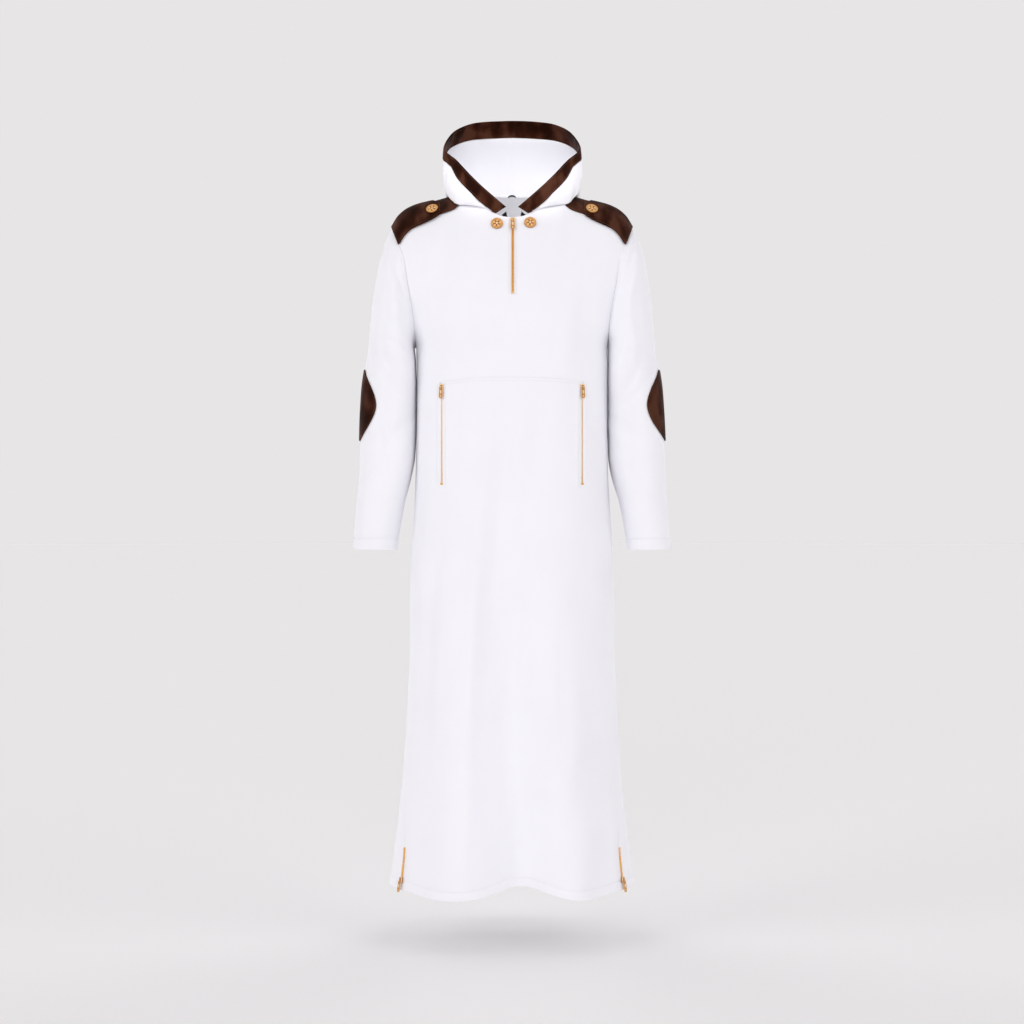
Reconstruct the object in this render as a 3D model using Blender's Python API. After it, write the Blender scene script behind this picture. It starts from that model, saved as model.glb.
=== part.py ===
"""A hooded thobe, filled out as if worn, with nobody inside.

Axes: +Z up, -Y to the front, +X to the wearer's left. The origin is the middle of the
neck at the height of the shoulder crests. All sizes are in metres.

Every panel is a smooth surface function of two parameters. A wall is made by sampling it
over a grid and moving the points in along their normals. What lies on a panel, such as a
strap or a patch, is made from the same points moved out.
"""
import math
from bisect import bisect_right

import bmesh
import bpy
from mathutils import Vector
from mathutils.bvhtree import BVHTree

# ------------------------------------------------------------------ driving sizes
CLOTH = 0.0018            # wall of the heavy knit
STRAP = 0.0016            # wall of a shoulder strap or an elbow patch
EPAULETTE = 0.0022        # the doubled, lined epaulette
BAND = 0.0030             # the doubled border of the hood
SEAM = 0.0004             # open line between two pieces at a seam
UNDERARM_Z = -0.285       # top of the side seam
SHOULDER_Z = -0.0465      # outer end of the shoulder crest
SHOULDER_X = 0.2385
NECK_X = 0.098            # neck side point, on the crest
HOOD_FRONT_X = NECK_X / 3  # where the hood starts on the neckline, each side of the zip
HEM_Z = -1.3655
SECTION_POWER = 2.5       # how square the body's horizontal sections are
CREST_SOFT = 0.090        # how fast the chest and back round out below the crest
CREST_POWER = 0.75

# Body sections from the hem up: height, half width, front depth, back depth, and how far
# the side seam is turned to the front, in degrees.
BODY = [
    (-1.370, 0.2455, 0.176, 0.170, 29.5),
    (-1.300, 0.2360, 0.168, 0.162, 29.0),
    (-1.230, 0.2270, 0.161, 0.154, 25.5),
    (-1.140, 0.2185, 0.154, 0.146, 20.0),
    (-1.070, 0.2125, 0.150, 0.141, 15.0),
    (-0.980, 0.2085, 0.146, 0.136, 7.0),
    (-0.860, 0.2045, 0.142, 0.133, 0.0),
    (-0.720, 0.2035, 0.138, 0.126, 0.0),
    (-0.600, 0.1950, 0.135, 0.117, 0.0),
    (-0.460, 0.1915, 0.132, 0.113, 0.0),
    (-0.340, 0.1910, 0.131, 0.117, 0.0),
    (-0.285, 0.1915, 0.130, 0.121, 0.0),
    (-0.245, 0.2060, 0.129, 0.123, 0.0),
    (-0.1975, 0.2220, 0.128, 0.125, 0.0),
    (-0.1525, 0.2450, 0.127, 0.126, 0.0),
    (-0.112, 0.2700, 0.126, 0.126, 0.0),
    (-0.085, 0.2850, 0.125, 0.125, 0.0),
    (-0.045, 0.3050, 0.124, 0.124, 0.0),
    (0.050, 0.3300, 0.122, 0.121, 0.0),
]
# Crest of the shoulders from the neck out: distance from the middle, height in front, height
# behind. Inside the neck it is the height that the neck would rise to.
CREST = [
    (0.000, 0.0300, 0.0850),
    (0.040, 0.0295, 0.0780),
    (0.070, 0.0285, 0.0580),
    (0.090, 0.0275, 0.0384),
    (0.098, 0.0270, 0.0270),
    (0.115, 0.0195, 0.0195),
    (0.133, 0.0125, 0.0125),
    (0.152, 0.0070, 0.0070),
    (0.170, 0.0028, 0.0028),
    (0.187, -0.0015, -0.0015),
    (0.2066, -0.0098, -0.0098),
    (0.2240, -0.0238, -0.0238),
    (0.2385, -0.0465, -0.0465),
]
# Neckline: distance from the middle, height in front, height behind.
NECKLINE = [
    (0.000, -0.0322, 0.0240),
    (0.020, -0.0300, 0.0241),
    (0.033, -0.0250, 0.0243),
    (0.050, -0.0165, 0.0247),
    (0.065, -0.0095, 0.0252),
    (0.082, 0.0010, 0.0258),
    (0.090, 0.0100, 0.0262),
    (0.098, 0.0270, 0.0270),
]
# Armhole: share of the way up from the underarm, distance from the middle in front, behind.
ARMHOLE = [
    (0.000, 0.1915, 0.1915),
    (0.168, 0.1936, 0.2000),
    (0.367, 0.2000, 0.2095),
    (0.555, 0.2075, 0.2170),
    (0.725, 0.2135, 0.2235),
    (0.839, 0.2240, 0.2300),
    (1.000, 0.2385, 0.2385),
]
# Long soft folds of the skirt: side (-1 front, 1 back), height and place where it starts,
# height where it is deepest, its place there and at the hem, half width at start and hem,
# and how far it stands out at the hem (below zero for a trough).
FOLDS = [
    (-1, -0.38, -0.005, -1.05, -0.014, 0.014, 0.030, 0.058, -0.042),
    (-1, -0.52, -0.075, -1.10, -0.105, -0.118, 0.040, 0.050, 0.010),
    (-1, -0.52, 0.080, -1.10, 0.110, 0.128, 0.042, 0.052, 0.012),
    (-1, -0.62, -0.165, -1.05, -0.178, -0.186, 0.022, 0.026, -0.007),
    (-1, -0.60, 0.158, -1.05, 0.172, 0.182, 0.024, 0.028, -0.009),
    (1, -0.45, 0.060, -1.05, 0.072, 0.080, 0.030, 0.050, -0.026),
    (1, -0.55, -0.070, -1.10, -0.082, -0.096, 0.030, 0.048, -0.022),
    (1, -0.60, -0.010, -1.15, -0.006, 0.000, 0.036, 0.044, 0.012),
    (1, -0.70, 0.160, -1.10, 0.168, 0.176, 0.024, 0.028, 0.007),
    (1, -0.70, -0.160, -1.10, -0.170, -0.178, 0.024, 0.028, 0.007),
]
# Rises of the hem: side, place, half width, height of the rise.
HEM_RISES = [
    (-1, 0.0215, 0.067, 0.0240),
    (-1, -0.216, 0.045, 0.0115),
    (-1, 0.216, 0.045, 0.0115),
    (1, 0.080, 0.050, 0.009),
    (1, -0.096, 0.050, 0.008),
    (1, -0.235, 0.060, 0.012),
    (1, 0.235, 0.060, 0.012),
]
# Sleeve, from the armhole (0) to the cuff (1): outer line, inner line, half depth front to
# back, and the middle's place front to back.
SLEEVE = [
    # share, outer x, outer z, inner x, inner z, half depth, middle y
    (0.00, 0.2385, -0.0465, 0.1915, -0.285, 0.0600, 0.000),
    (0.05, 0.2450, -0.0560, 0.1929, -0.288, 0.0660, -0.002),
    (0.12, 0.2560, -0.0780, 0.1932, -0.293, 0.0720, -0.004),
    (0.20, 0.2645, -0.1120, 0.1933, -0.300, 0.0780, -0.006),
    (0.30, 0.2720, -0.1620, 0.1933, -0.312, 0.0810, -0.008),
    (0.40, 0.2790, -0.2220, 0.1933, -0.332, 0.0810, -0.009),
    (0.50, 0.2860, -0.2920, 0.1933, -0.362, 0.0780, -0.008),
    (0.58, 0.2965, -0.3450, 0.1933, -0.390, 0.0740, -0.004),
    (0.66, 0.3008, -0.4050, 0.1933, -0.425, 0.0700, 0.000),
    (0.74, 0.3035, -0.4700, 0.1947, -0.474, 0.0660, 0.000),
    (0.82, 0.3058, -0.5340, 0.2005, -0.534, 0.0600, -0.006),
    (0.90, 0.3105, -0.6000, 0.2130, -0.600, 0.0510, -0.016),
    (0.96, 0.3140, -0.6550, 0.2235, -0.655, 0.0430, -0.025),
    (1.00, 0.3150, -0.6880, 0.2300, -0.689, 0.0385, -0.031),
]
SLEEVE_BLEND = 0.30       # share over which the armhole's shape turns into the arm's
UNDERARM_GAP = 0.0006     # between the sleeve and the body under the arm
# Creases of a sleeve: share and angle of the middle, half lengths along and round, depth.
SLEEVE_CREASES = [
    (0.52, 48.0, 0.035, 40.0, -0.0050),
    (0.70, 112.0, 0.030, 45.0, -0.0045),
    (0.30, 70.0, 0.120, 16.0, -0.0060),
    (0.62, 250.0, 0.030, 40.0, -0.0050),
]
# The hood, left half, from its front end (0) to the middle of the back (1). Each table is
# one line of points round it, from the neck seam up to the rim.
HOOD_SHARES = (0.00, 0.08, 0.20, 0.30, 0.40, 0.55, 0.70, 0.85, 1.00)
NECK_SIDE_SHARE = 0.40    # where the hood crosses the shoulder seam
HOOD_LINES = [
    # base: over the neck seam
    [(0.0302, -0.0636, -0.0238), (0.0518, -0.0578, -0.0152), (0.0850, -0.0465, -0.0020),
     (0.1030, -0.0280, 0.0148), (0.1125, -0.0040, 0.0257), (0.1055, 0.0290, 0.0250),
     (0.0850, 0.0580, 0.0235), (0.0460, 0.0780, 0.0265), (0.0000, 0.0790, 0.0280)],
    # turn: where the hood turns up
    [(0.0275, -0.0657, -0.0223), (0.0504, -0.0610, -0.0141), (0.0868, -0.0535, -0.0075),
     (0.1135, -0.0440, -0.0030), (0.1277, -0.0070, 0.0190), (0.1280, 0.0360, 0.0060),
     (0.1180, 0.0860, -0.0160), (0.0760, 0.1260, -0.0660), (0.0000, 0.1380, -0.0900)],
    # side
    [(0.0234, -0.0690, -0.0200), (0.0472, -0.0645, -0.0102), (0.0858, -0.0595, -0.0020),
     (0.1185, -0.0390, 0.0210), (0.1335, 0.0060, 0.0495), (0.1365, 0.0300, 0.0440),
     (0.1340, 0.1040, 0.0120), (0.0980, 0.1700, -0.0300), (0.0000, 0.1930, -0.0640)],
    # under the rim
    [(0.0178, -0.0734, -0.0169), (0.0398, -0.0682, -0.0025), (0.0735, -0.0600, 0.0150),
     (0.1014, -0.0360, 0.0440), (0.1235, -0.0010, 0.0770), (0.1390, 0.0230, 0.0850),
     (0.1335, 0.0900, 0.0950), (0.0985, 0.1560, 0.0810), (0.0000, 0.1830, 0.0740)],
    # rim
    [(0.0120, -0.0780, -0.0137), (0.0312, -0.0703, 0.0042), (0.0593, -0.0560, 0.0306),
     (0.0860, -0.0400, 0.0586), (0.1105, -0.0200, 0.0860), (0.1365, 0.0120, 0.1165),
     (0.1190, 0.0640, 0.1558), (0.0735, 0.1040, 0.1815), (0.0000, 0.1180, 0.1882)],
]
# Where the hood's shares fall along the neckline: share, distance from the middle, and side.
HOOD_SEAT = [(0.00, -HOOD_FRONT_X), (0.20, -0.082), (0.40, -NECK_X), (0.55, 0.090),
             (0.70, 0.070), (0.85, 0.036), (1.00, 0.000)]
BAND_WIDTHS = [(0.00, 0.0275), (0.20, 0.0262), (0.30, 0.0250), (0.40, 0.0245), (0.48, 0.0200),
               (0.55, 0.0230), (0.65, 0.0330), (0.75, 0.0380), (0.85, 0.0385), (1.00, 0.0375)]
HOOD_START = 0.040        # share where cloth begins to show below the band
HOOD_SEAT_GAP = 0.0010    # between the neckline and the hood's first row
BAND_GAP = 0.0008         # between the cloth and the border
BAND_LIFT = 0.0006        # how far the border stands out of the hood's cloth
TRIM_GAP = 0.0004         # under a strap or an epaulette
PATCH_GAP = 0.0010
TAPE_LEAN = 0.80          # how far the zip's tape ends lean in, for each metre up

# Shoulder strap and epaulette on the front panel's grid: column, lowest row. The epaulette
# also has its top row.
STRAP_EDGE = [(0, 3.14), (1, 3.15), (2, 3.02), (3, 2.85), (4, 2.75), (5, 2.68), (6, 2.65),
              (7, 2.63), (7.55, 2.48)]
STRAP_BACK = 1.6          # how far down the back the strap reaches, in rows
EPAULETTE_EDGE = [(0, 0.0, 3.20), (1, 0.0, 3.26), (2, 0.0, 3.22), (3, 0.0, 3.15),
                  (4, 0.0, 3.11), (5, 0.0, 2.99), (5.6, 0.3, 2.86), (5.8, 0.9, 2.79),
                  (6, 1.0, 2.68), (6.12, 1.4, 2.48)]
PATCH_MIDDLE = (0.650, 15.0)   # share and angle on the sleeve
PATCH_HALF = (0.0935, 55.0)
PATCH_ROWS = (0.615, 0.715)    # the sleeve's own rows that it shares

# Zips: place across, top of the slider, end of the chain.
NECK_ZIP = (0.0014, -0.0345, -0.1830)
POCKET_ZIP = (0.1365, -0.3635, -0.5575)
HEM_ZIP_TOP = -1.2720
HEM_ZIP_END = -1.3275     # the slider starts here
SEAM_STEP = 0.0020        # over which the side seam's direction is read
CHAIN_WIDTH = 0.0040
CHAIN_LIFT = 0.0008
CHAIN_HEIGHT = 0.0022
CHAIN_STEP = 0.0180
STOP_WIDTH = 0.0066
STOP_LENGTH = 0.0036
STOP_STEP = 0.0001        # over which the chain widens into the stop
SLIDER_GAP = 0.0003
SLIDER_LENGTH = 0.0130
SLIDER_WIDE = 0.0112
SLIDER_NARROW = 0.0074
SLIDER_BASE = 0.0008      # under side above the cloth
SLIDER_TOP = 0.0044
BRIDGE_HALF = 0.0026      # half length of the arch, and of its opening
BRIDGE_OPENING = 0.0014
BRIDGE_WIDTH = 0.0016
BRIDGE_INSIDE = 0.0066    # height of the arch's opening and of its top
BRIDGE_TOP = 0.0075
HEM_BRIDGE_SHIFT = 0.0030 # how far below the slider's middle the arch of a hem zip sits
TAB_AXIS = 0.0055         # height of the tab's hinge above the cloth
TAB_THICK = 0.0012
TAB_EYE = 0.0012          # half width of the eye
# Tab: distance from the hinge, half width.
TAB_OUTLINE = [(-0.0006, 0.0031), (0.0006, 0.0031), (0.0038, 0.0031), (0.0060, 0.0030),
               (0.0190, 0.0042), (0.0205, 0.0034)]

BUTTON_R = 0.0120
BUTTON_SEAT = 0.0004
BUTTON_SIDES = 24
# Button section: distance from the middle, height.
BUTTON_SECTION = [(0.0112, 0.0000), (0.0120, 0.0008), (0.0120, 0.0029), (0.0110, 0.0038),
                  (0.0098, 0.0035), (0.0052, 0.0041)]
BUTTON_TOP = 0.0042
FRONT_BUTTONS = [("left", 0.0358, -0.0447), ("right", -0.0297, -0.0466)]
EPAULETTE_BUTTON = (0.1572, 0.0228)   # place across, drop below the crest

LOOP_HALF = (0.0058, 0.0092)   # hanger loop: half widths and rises, inside and outside
LOOP_RISE = (0.0022, 0.0062)
LOOP_BASE = 0.0225        # height of its ends
LOOP_STEPS = 12
LOOP_Y = (0.0606, 0.0616)
# Ends of the neck zip's tape: corners as places across and heights.
TAPE_MIDDLE = 0.0036
TAPE_CORNERS = [(0.0058, -0.0390), (0.0160, -0.0390), (0.0234, -0.0264), (0.0149, -0.0188),
                (0.0132, -0.0296)]
TAPE_THICK = 0.0010


# ------------------------------------------------------------------ smooth tables
def slopes_of(keys, values):
    """Slopes through the values that never overshoot them."""
    steps = [(values[i + 1] - values[i]) / (keys[i + 1] - keys[i]) for i in range(len(keys) - 1)]
    slopes = [steps[0]]
    for before, after in zip(steps, steps[1:]):
        slopes.append(0.0 if before * after <= 0 else 2 * before * after / (before + after))
    slopes.append(steps[-1])
    return slopes


def round_slopes_of(keys, values):
    """Slopes through the values that turn evenly, for a line that bends back on itself."""
    gaps = [after - before for before, after in zip(keys, keys[1:])]
    steps = [(after - before) / gap for before, after, gap in zip(values, values[1:], gaps)]
    slopes = [(gaps[i] * steps[i + 1] + gaps[i + 1] * steps[i]) / (gaps[i] + gaps[i + 1])
              for i in range(len(gaps) - 1)]
    return [(3 * steps[0] - slopes[0]) / 2] + slopes + [(3 * steps[-1] - slopes[-1]) / 2]


def table(rows, level_first=(), level_last=(), slopes_from=slopes_of):
    """Read a table smoothly: a function from the first column to a tuple of the others. The
    listed columns start or end level, which makes them smooth where they meet their mirror."""
    keys = [row[0] for row in rows]
    columns = list(zip(*[row[1:] for row in rows]))
    slopes = [slopes_from(keys, column) for column in columns]
    for i in level_first:
        slopes[i][0] = 0.0
    for i in level_last:
        slopes[i][-1] = 0.0

    def read(key):
        key = min(max(key, keys[0]), keys[-1])
        i = min(bisect_right(keys, key), len(keys) - 1) - 1
        step = keys[i + 1] - keys[i]
        t = (key - keys[i]) / step
        start = (1 + 2 * t) * (1 - t) ** 2
        end = t * t * (3 - 2 * t)
        lead = t * (1 - t) ** 2 * step
        trail = t * t * (t - 1) * step
        return tuple(start * column[i] + end * column[i + 1] + lead * slope[i] + trail * slope[i + 1]
                     for column, slope in zip(columns, slopes))
    return read


def ease(t):
    t = min(max(t, 0.0), 1.0)
    return t * t * (3 - 2 * t)


def signed_power(value, power):
    return math.copysign(abs(value) ** power, value)


body_section = table(BODY)
crest_heights = table(CREST, level_first=(0, 1))
neckline_heights = table(NECKLINE, level_first=(0, 1))
armhole_places = table(ARMHOLE)
sleeve_lines = table(SLEEVE)
hood_seat = table(HOOD_SEAT)
band_width = table(BAND_WIDTHS)
hood_lines = [table([(share, *point) for share, point in zip(HOOD_SHARES, line)],
                    level_last=(1, 2)) for line in HOOD_LINES]


# ------------------------------------------------------------------ the body's surface
def crest(side, x):
    front, back = crest_heights(abs(x))
    return front if side < 0 else back


def neckline(side, x):
    front, back = neckline_heights(abs(x))
    return front if side < 0 else back


def rounding(side, x, z):
    """Share of the full depth that the surface has reached below the crest."""
    drop = max(0.0, crest(side, x) - z)
    return 1.0 - math.exp(-((drop / CREST_SOFT) ** CREST_POWER))


def fold_height(side, x, z):
    """How far the long folds stand out of the skirt."""
    total = 0.0
    for fold_side, z0, x0, z1, x1, x2, w0, w2, height in FOLDS:
        if fold_side != side or z > z0:
            continue
        along = min((z0 - z) / (z0 - HEM_Z), 1.0)
        turn = (z0 - z1) / (z0 - HEM_Z)
        if along < turn:
            middle = x0 + (x1 - x0) * along / turn
        else:
            middle = x1 + (x2 - x1) * (along - turn) / (1 - turn)
        width = w0 + (w2 - w0) * along
        total += height * ease(along) * math.exp(-((x - middle) / width) ** 2)
    return total


def body_point(angle, z):
    """Point of the body's outside: angle 0 is the wearer's left, 90 degrees the front."""
    half_width, front, back, _ = body_section(z)
    side = -1 if math.sin(angle) > 0 else 1
    depth = front if side < 0 else back
    power = 2.0 / SECTION_POWER
    x = half_width * signed_power(math.cos(angle), power)
    across = abs(math.sin(angle)) ** power
    y = side * (depth * rounding(side, x, z) + fold_height(side, x, z)) * across
    return Vector((x, y, z))


def torso_point(side, x, z):
    """Point of the front or back above the underarm, at a given place across and height."""
    half_width, front, back, _ = body_section(z)
    depth = front if side < 0 else back
    across = max(0.0, 1.0 - (abs(x) / half_width) ** SECTION_POWER) ** (1.0 / SECTION_POWER)
    y = side * (depth * rounding(side, x, z) + fold_height(side, x, z)) * across
    return Vector((x, y, z))


def hem_height(side, x):
    rise = sum(height * math.exp(-((x - place) / width) ** 2)
               for rise_side, place, width, height in HEM_RISES if rise_side == side)
    return HEM_Z + rise


def panel_point(side, across, down):
    """Front or back panel. Across runs from 1 at the wearer's left to -1 at the right, as the
    share of the half width. Down is 0 at the top edge, 1 at the underarm and 2 at the hem."""
    if down < 1.0:
        up = 0.5 * (1.0 + math.cos(math.pi * down))
        edge = armhole_places(up)[0 if side < 0 else 1]
        top_x = across * SHOULDER_X
        top_z = crest(side, top_x) if abs(top_x) >= NECK_X - 1e-9 else neckline(side, top_x)
        z = UNDERARM_Z + up * (top_z - UNDERARM_Z)
        return torso_point(side, across * edge, z)
    turn_at = down - 1.0
    base = UNDERARM_Z + turn_at * (HEM_Z - UNDERARM_Z)
    seam = math.radians(body_section(base)[3])
    round_angle = math.acos(signed_power(across, SECTION_POWER / 2.0))
    if side < 0:
        angle = seam + (math.pi - 2 * seam) * round_angle / math.pi
    else:
        angle = -(-seam + (math.pi + 2 * seam) * round_angle / math.pi)
    half_width = body_section(base)[0]
    x = half_width * signed_power(math.cos(angle), 2.0 / SECTION_POWER)
    z = base + (hem_height(side, x) - HEM_Z) * ease(turn_at * 3.0 - 2.0)
    return body_point(angle, z)


# ------------------------------------------------------------------ sleeves
def armhole_point(angle):
    """Point of the left armhole's edge: angle 0 at the shoulder, 90 in front, 180 below."""
    up = 0.5 * (1.0 + math.cos(angle))
    side = -1 if math.sin(angle) >= 0 else 1
    x = armhole_places(up)[0 if side < 0 else 1]
    return torso_point(side, x, UNDERARM_Z + up * (SHOULDER_Z - UNDERARM_Z))


def tube_point(angle, share):
    """Point of a plain tube along the arm, and the middle of its section."""
    outer_x, outer_z, inner_x, inner_z, half_depth, middle_y = sleeve_lines(share)
    outer = Vector((outer_x, middle_y, outer_z))
    inner = Vector((inner_x, middle_y, inner_z))
    middle = (outer + inner) / 2
    across = (outer - inner) / 2 * math.cos(angle)
    return middle + across - Vector((0, half_depth, 0)) * math.sin(angle), middle


def sleeve_point(angle, share):
    """Left sleeve's outside: angle 0 is outward, 90 degrees the front, 180 the body."""
    point, middle = tube_point(angle, share)
    start = 1.0 - min(share / SLEEVE_BLEND, 1.0)
    point += (armhole_point(angle) - tube_point(angle, 0.0)[0]) * start * start
    point.x += UNDERARM_GAP * max(0.0, -math.cos(angle)) ** 2
    out = (point - middle).normalized()
    for at, round_at, half_length, half_round, depth in SLEEVE_CREASES:
        turn = (math.degrees(angle) - round_at + 180.0) % 360.0 - 180.0
        slant = (share - at) + 0.0009 * turn
        point += out * depth * math.exp(-(slant / half_length) ** 2 - (turn / half_round) ** 2)
    return point


# ------------------------------------------------------------------ hood
def neck_point(signed_x):
    """Point of the neckline: below zero on the front panel, otherwise on the back one."""
    side = -1 if signed_x < 0 else 1
    x = abs(signed_x)
    return torso_point(side, x, neckline(side, x))


def seat_point(share):
    """Where the hood sits on the neckline."""
    (side_share, _), (back_share, back_x) = HOOD_SEAT[2:4]
    if share < side_share or share > back_share:
        return neck_point(hood_seat(share)[0])
    at = (share - side_share) / (back_share - side_share)
    return neck_point(NECK_X + (back_x - NECK_X) * at)


def hood_profile(share):
    """The line from the neck seam to the rim: its reader and its length."""
    points = [seat_point(share)]
    points += [Vector(line(share)) for line in hood_lines]
    rows = [(0.0, *points[0])]
    for before, after in zip(points, points[1:]):
        rows.append((rows[-1][0] + (after - before).length, *after))
    return table(rows, slopes_from=round_slopes_of), rows[-1][0]


def hood_point(share, up):
    read, length = hood_profile(share)
    return Vector(read(up * length))


def hood_start(share):
    """Share of the way up where the hood begins, just off the neckline."""
    return HOOD_SEAT_GAP / hood_profile(share)[1]


def band_start(share):
    """Share of the way up where the border begins."""
    if share < HOOD_START:
        return hood_start(share)
    return 1.0 - band_width(share)[0] / hood_profile(share)[1]


# ------------------------------------------------------------------ walls from grids
def sample(surface, us, vs, ring=False):
    """Points and outward normals of a surface over a grid; each row holds one v."""
    eps = 0.002
    sense = 1.0 if us[-1] > us[0] else -1.0
    low, high = min(us), max(us)

    def held(u):
        return u if ring else min(max(u, low), high)
    rows = []
    for v in vs:
        above, below = max(v - eps, vs[0]), min(v + eps, vs[-1])
        row = []
        for u in us:
            along = surface(held(u + sense * eps), v) - surface(held(u - sense * eps), v)
            down = surface(u, below) - surface(u, above)
            row.append((surface(u, v), along.cross(down).normalized()))
        rows.append(row)
    return rows


def draw_in(rows, first=0.0, last=0.0, top=0.0, bottom=0.0):
    """Move a grid's border points in along the grid, which opens the seams."""
    width = len(rows[0])
    moved = [[point for point, _ in row] for row in rows]

    def shift(j, i, toward, distance):
        other = rows[toward[0]][toward[1]][0]
        moved[j][i] = moved[j][i] + (other - rows[j][i][0]).normalized() * distance
    for j in range(len(rows)):
        if first:
            shift(j, 0, (j, 1), first)
        if last:
            shift(j, width - 1, (j, width - 2), last)
    for i in range(width):
        if top:
            shift(0, i, (1, i), top)
        if bottom:
            shift(len(rows) - 1, i, (len(rows) - 2, i), bottom)
    return [[(moved[j][i], rows[j][i][1]) for i in range(width)] for j in range(len(rows))]


def mirrored(rows):
    """The same grid on the wearer's other side, its columns turned round."""
    def across(vector):
        return Vector((-vector.x, vector.y, vector.z))
    return [[(across(point), across(normal)) for point, normal in reversed(row)] for row in rows]


def wall(name, rows, thickness, lift, finish, ring=False):
    """A closed wall: the grid moved out by lift, and the same moved back by its thickness."""
    width, height = len(rows[0]), len(rows)
    outer = [point + normal * lift for row in rows for point, normal in row]
    inner = [point + normal * (lift - thickness) for row in rows for point, normal in row]
    count = len(outer)
    faces = []
    columns = width if ring else width - 1
    for j in range(height - 1):
        for i in range(columns):
            a, b = j * width + i, j * width + (i + 1) % width
            c, d = b + width, a + width
            faces.append((a, b, c, d))
            faces.append((count + d, count + c, count + b, count + a))
    for i in range(columns):
        a, b = i, (i + 1) % width
        faces.append((b, a, count + a, count + b))
        a, b = a + (height - 1) * width, b + (height - 1) * width
        faces.append((a, b, count + b, count + a))
    if not ring:
        for j in range(height - 1):
            a, b = j * width, (j + 1) * width
            faces.append((a, b, count + b, count + a))
            a, b = a + width - 1, b + width - 1
            faces.append((b, a, count + a, count + b))
    return solid(name, outer + inner, faces, finish)


def solid(name, points, faces, finish, smooth=True):
    """One object from points and faces, with doubled points joined."""
    mesh = bpy.data.meshes.new(name)
    mesh.from_pydata([tuple(point) for point in points], [], faces)
    shape = bmesh.new()
    shape.from_mesh(mesh)
    bmesh.ops.remove_doubles(shape, verts=shape.verts, dist=1e-6)
    shape.to_mesh(mesh)
    shape.free()
    if smooth:
        mesh.shade_smooth()
        mesh.set_sharp_from_angle(angle=math.radians(40))
    mesh.materials.append(finish)
    item = bpy.data.objects.new(name, mesh)
    bpy.context.scene.collection.objects.link(item)
    return item


# ------------------------------------------------------------------ finishes
def make_finish(name, colour, roughness, metallic=0.0):
    material = bpy.data.materials.new(name)
    material.use_nodes = True
    shader = material.node_tree.nodes["Principled BSDF"]
    shader.inputs["Base Color"].default_value = (*colour, 1.0)
    shader.inputs["Roughness"].default_value = roughness
    shader.inputs["Metallic"].default_value = metallic
    return material


# ------------------------------------------------------------------ body, sleeves and hood
SIDE_COLUMNS = [1.0, 0.985, 0.945, 0.885, 0.81, 0.72, 0.62, 0.515]
NECK_STEPS = 6
ARMHOLE_STEPS = 12
SKIRT_ROWS = [0.05, 0.12, 0.21, 0.31, 0.41, 0.51, 0.61, 0.71, 0.80, 0.90, 1.0]
SLEEVE_COLUMNS = 24
SLEEVE_ROWS = [0.0, 0.03, 0.07, 0.12, 0.18, 0.25, 0.33, 0.41, 0.49, 0.56, 0.63, 0.70, 0.77,
               0.84, 0.92, 1.0]
HOOD_FRONT_STEPS = 7      # columns of the hood before and after the neck side point
HOOD_BACK_STEPS = 12
HOOD_ROWS = 11
BAND_ROWS = 4
BAND_END_STEPS = 2
BAND_STEP = 0.0050


def panel_columns():
    """Places of the columns across a panel, from the wearer's left to the right."""
    neck = [NECK_X / SHOULDER_X * step / NECK_STEPS for step in range(NECK_STEPS, 0, -1)]
    half = SIDE_COLUMNS + neck
    return half + [0.0] + [-place for place in reversed(half)]


def panel_rows():
    return [step / ARMHOLE_STEPS for step in range(ARMHOLE_STEPS + 1)] + [1 + t for t in SKIRT_ROWS]


def panel_grid(side):
    columns = panel_columns()
    if side > 0:
        columns = columns[::-1]
    rows = sample(lambda across, down: panel_point(side, across, down), columns, panel_rows())
    return draw_in(rows, first=SEAM / 2, last=SEAM / 2, top=SEAM / 2)


def sleeve_grid():
    angles = [math.radians(360.0 * i / SLEEVE_COLUMNS) for i in range(SLEEVE_COLUMNS)]
    rows = sample(sleeve_point, angles, SLEEVE_ROWS, ring=True)
    return draw_in(rows, top=SEAM / 2)


def hood_shares():
    turn = NECK_SIDE_SHARE
    shares = [HOOD_START + (turn - HOOD_START) * i / HOOD_FRONT_STEPS for i in range(HOOD_FRONT_STEPS)]
    return shares + [turn + (1.0 - turn) * i / HOOD_BACK_STEPS for i in range(HOOD_BACK_STEPS + 1)]


def hood_place(share, up):
    """Point of the hood with its outward normal."""
    step = 0.002
    last, top = min(share + step, 1.0), min(up + step, 1.0)
    along = hood_point(last, up) - hood_point(max(share - step, 0.0), up)
    rise = hood_point(share, top) - hood_point(share, max(up - step, 0.0))
    return hood_point(share, up), along.cross(rise).normalized()


def hood_rows_between(shares, start, end, steps):
    """Rows of the hood's grid from one line round it to another."""
    rows = []
    for j in range(steps + 1):
        t = j / steps
        rows.append([hood_place(share, start(share) * (1 - t) + end(share) * t) for share in shares])
    return rows


def hood_grid():
    """Left half of the hood below its border."""
    rows = hood_rows_between(hood_shares(), hood_start,
                             lambda share: band_start(share) - BAND_GAP / hood_profile(share)[1],
                             HOOD_ROWS)
    return draw_in(rows, first=SEAM, last=SEAM / 2)


def band_grid():
    """The border of the hood, all round from its left end to its right end."""
    ends = [HOOD_START * i / BAND_END_STEPS for i in range(BAND_END_STEPS)]
    shares = ends + [HOOD_START - BAND_STEP] + hood_shares()
    joined = []
    rows = hood_rows_between(shares, band_start, lambda share: 1.0, BAND_ROWS)
    for row, other in zip(rows, mirrored(rows)):
        middle = Vector((0.0, row[-1][0].y, row[-1][0].z))
        normal = Vector((0.0, row[-1][1].y, row[-1][1].z)).normalized()
        joined.append(row[:-1] + [(middle, normal)] + other[1:])
    return joined


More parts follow.
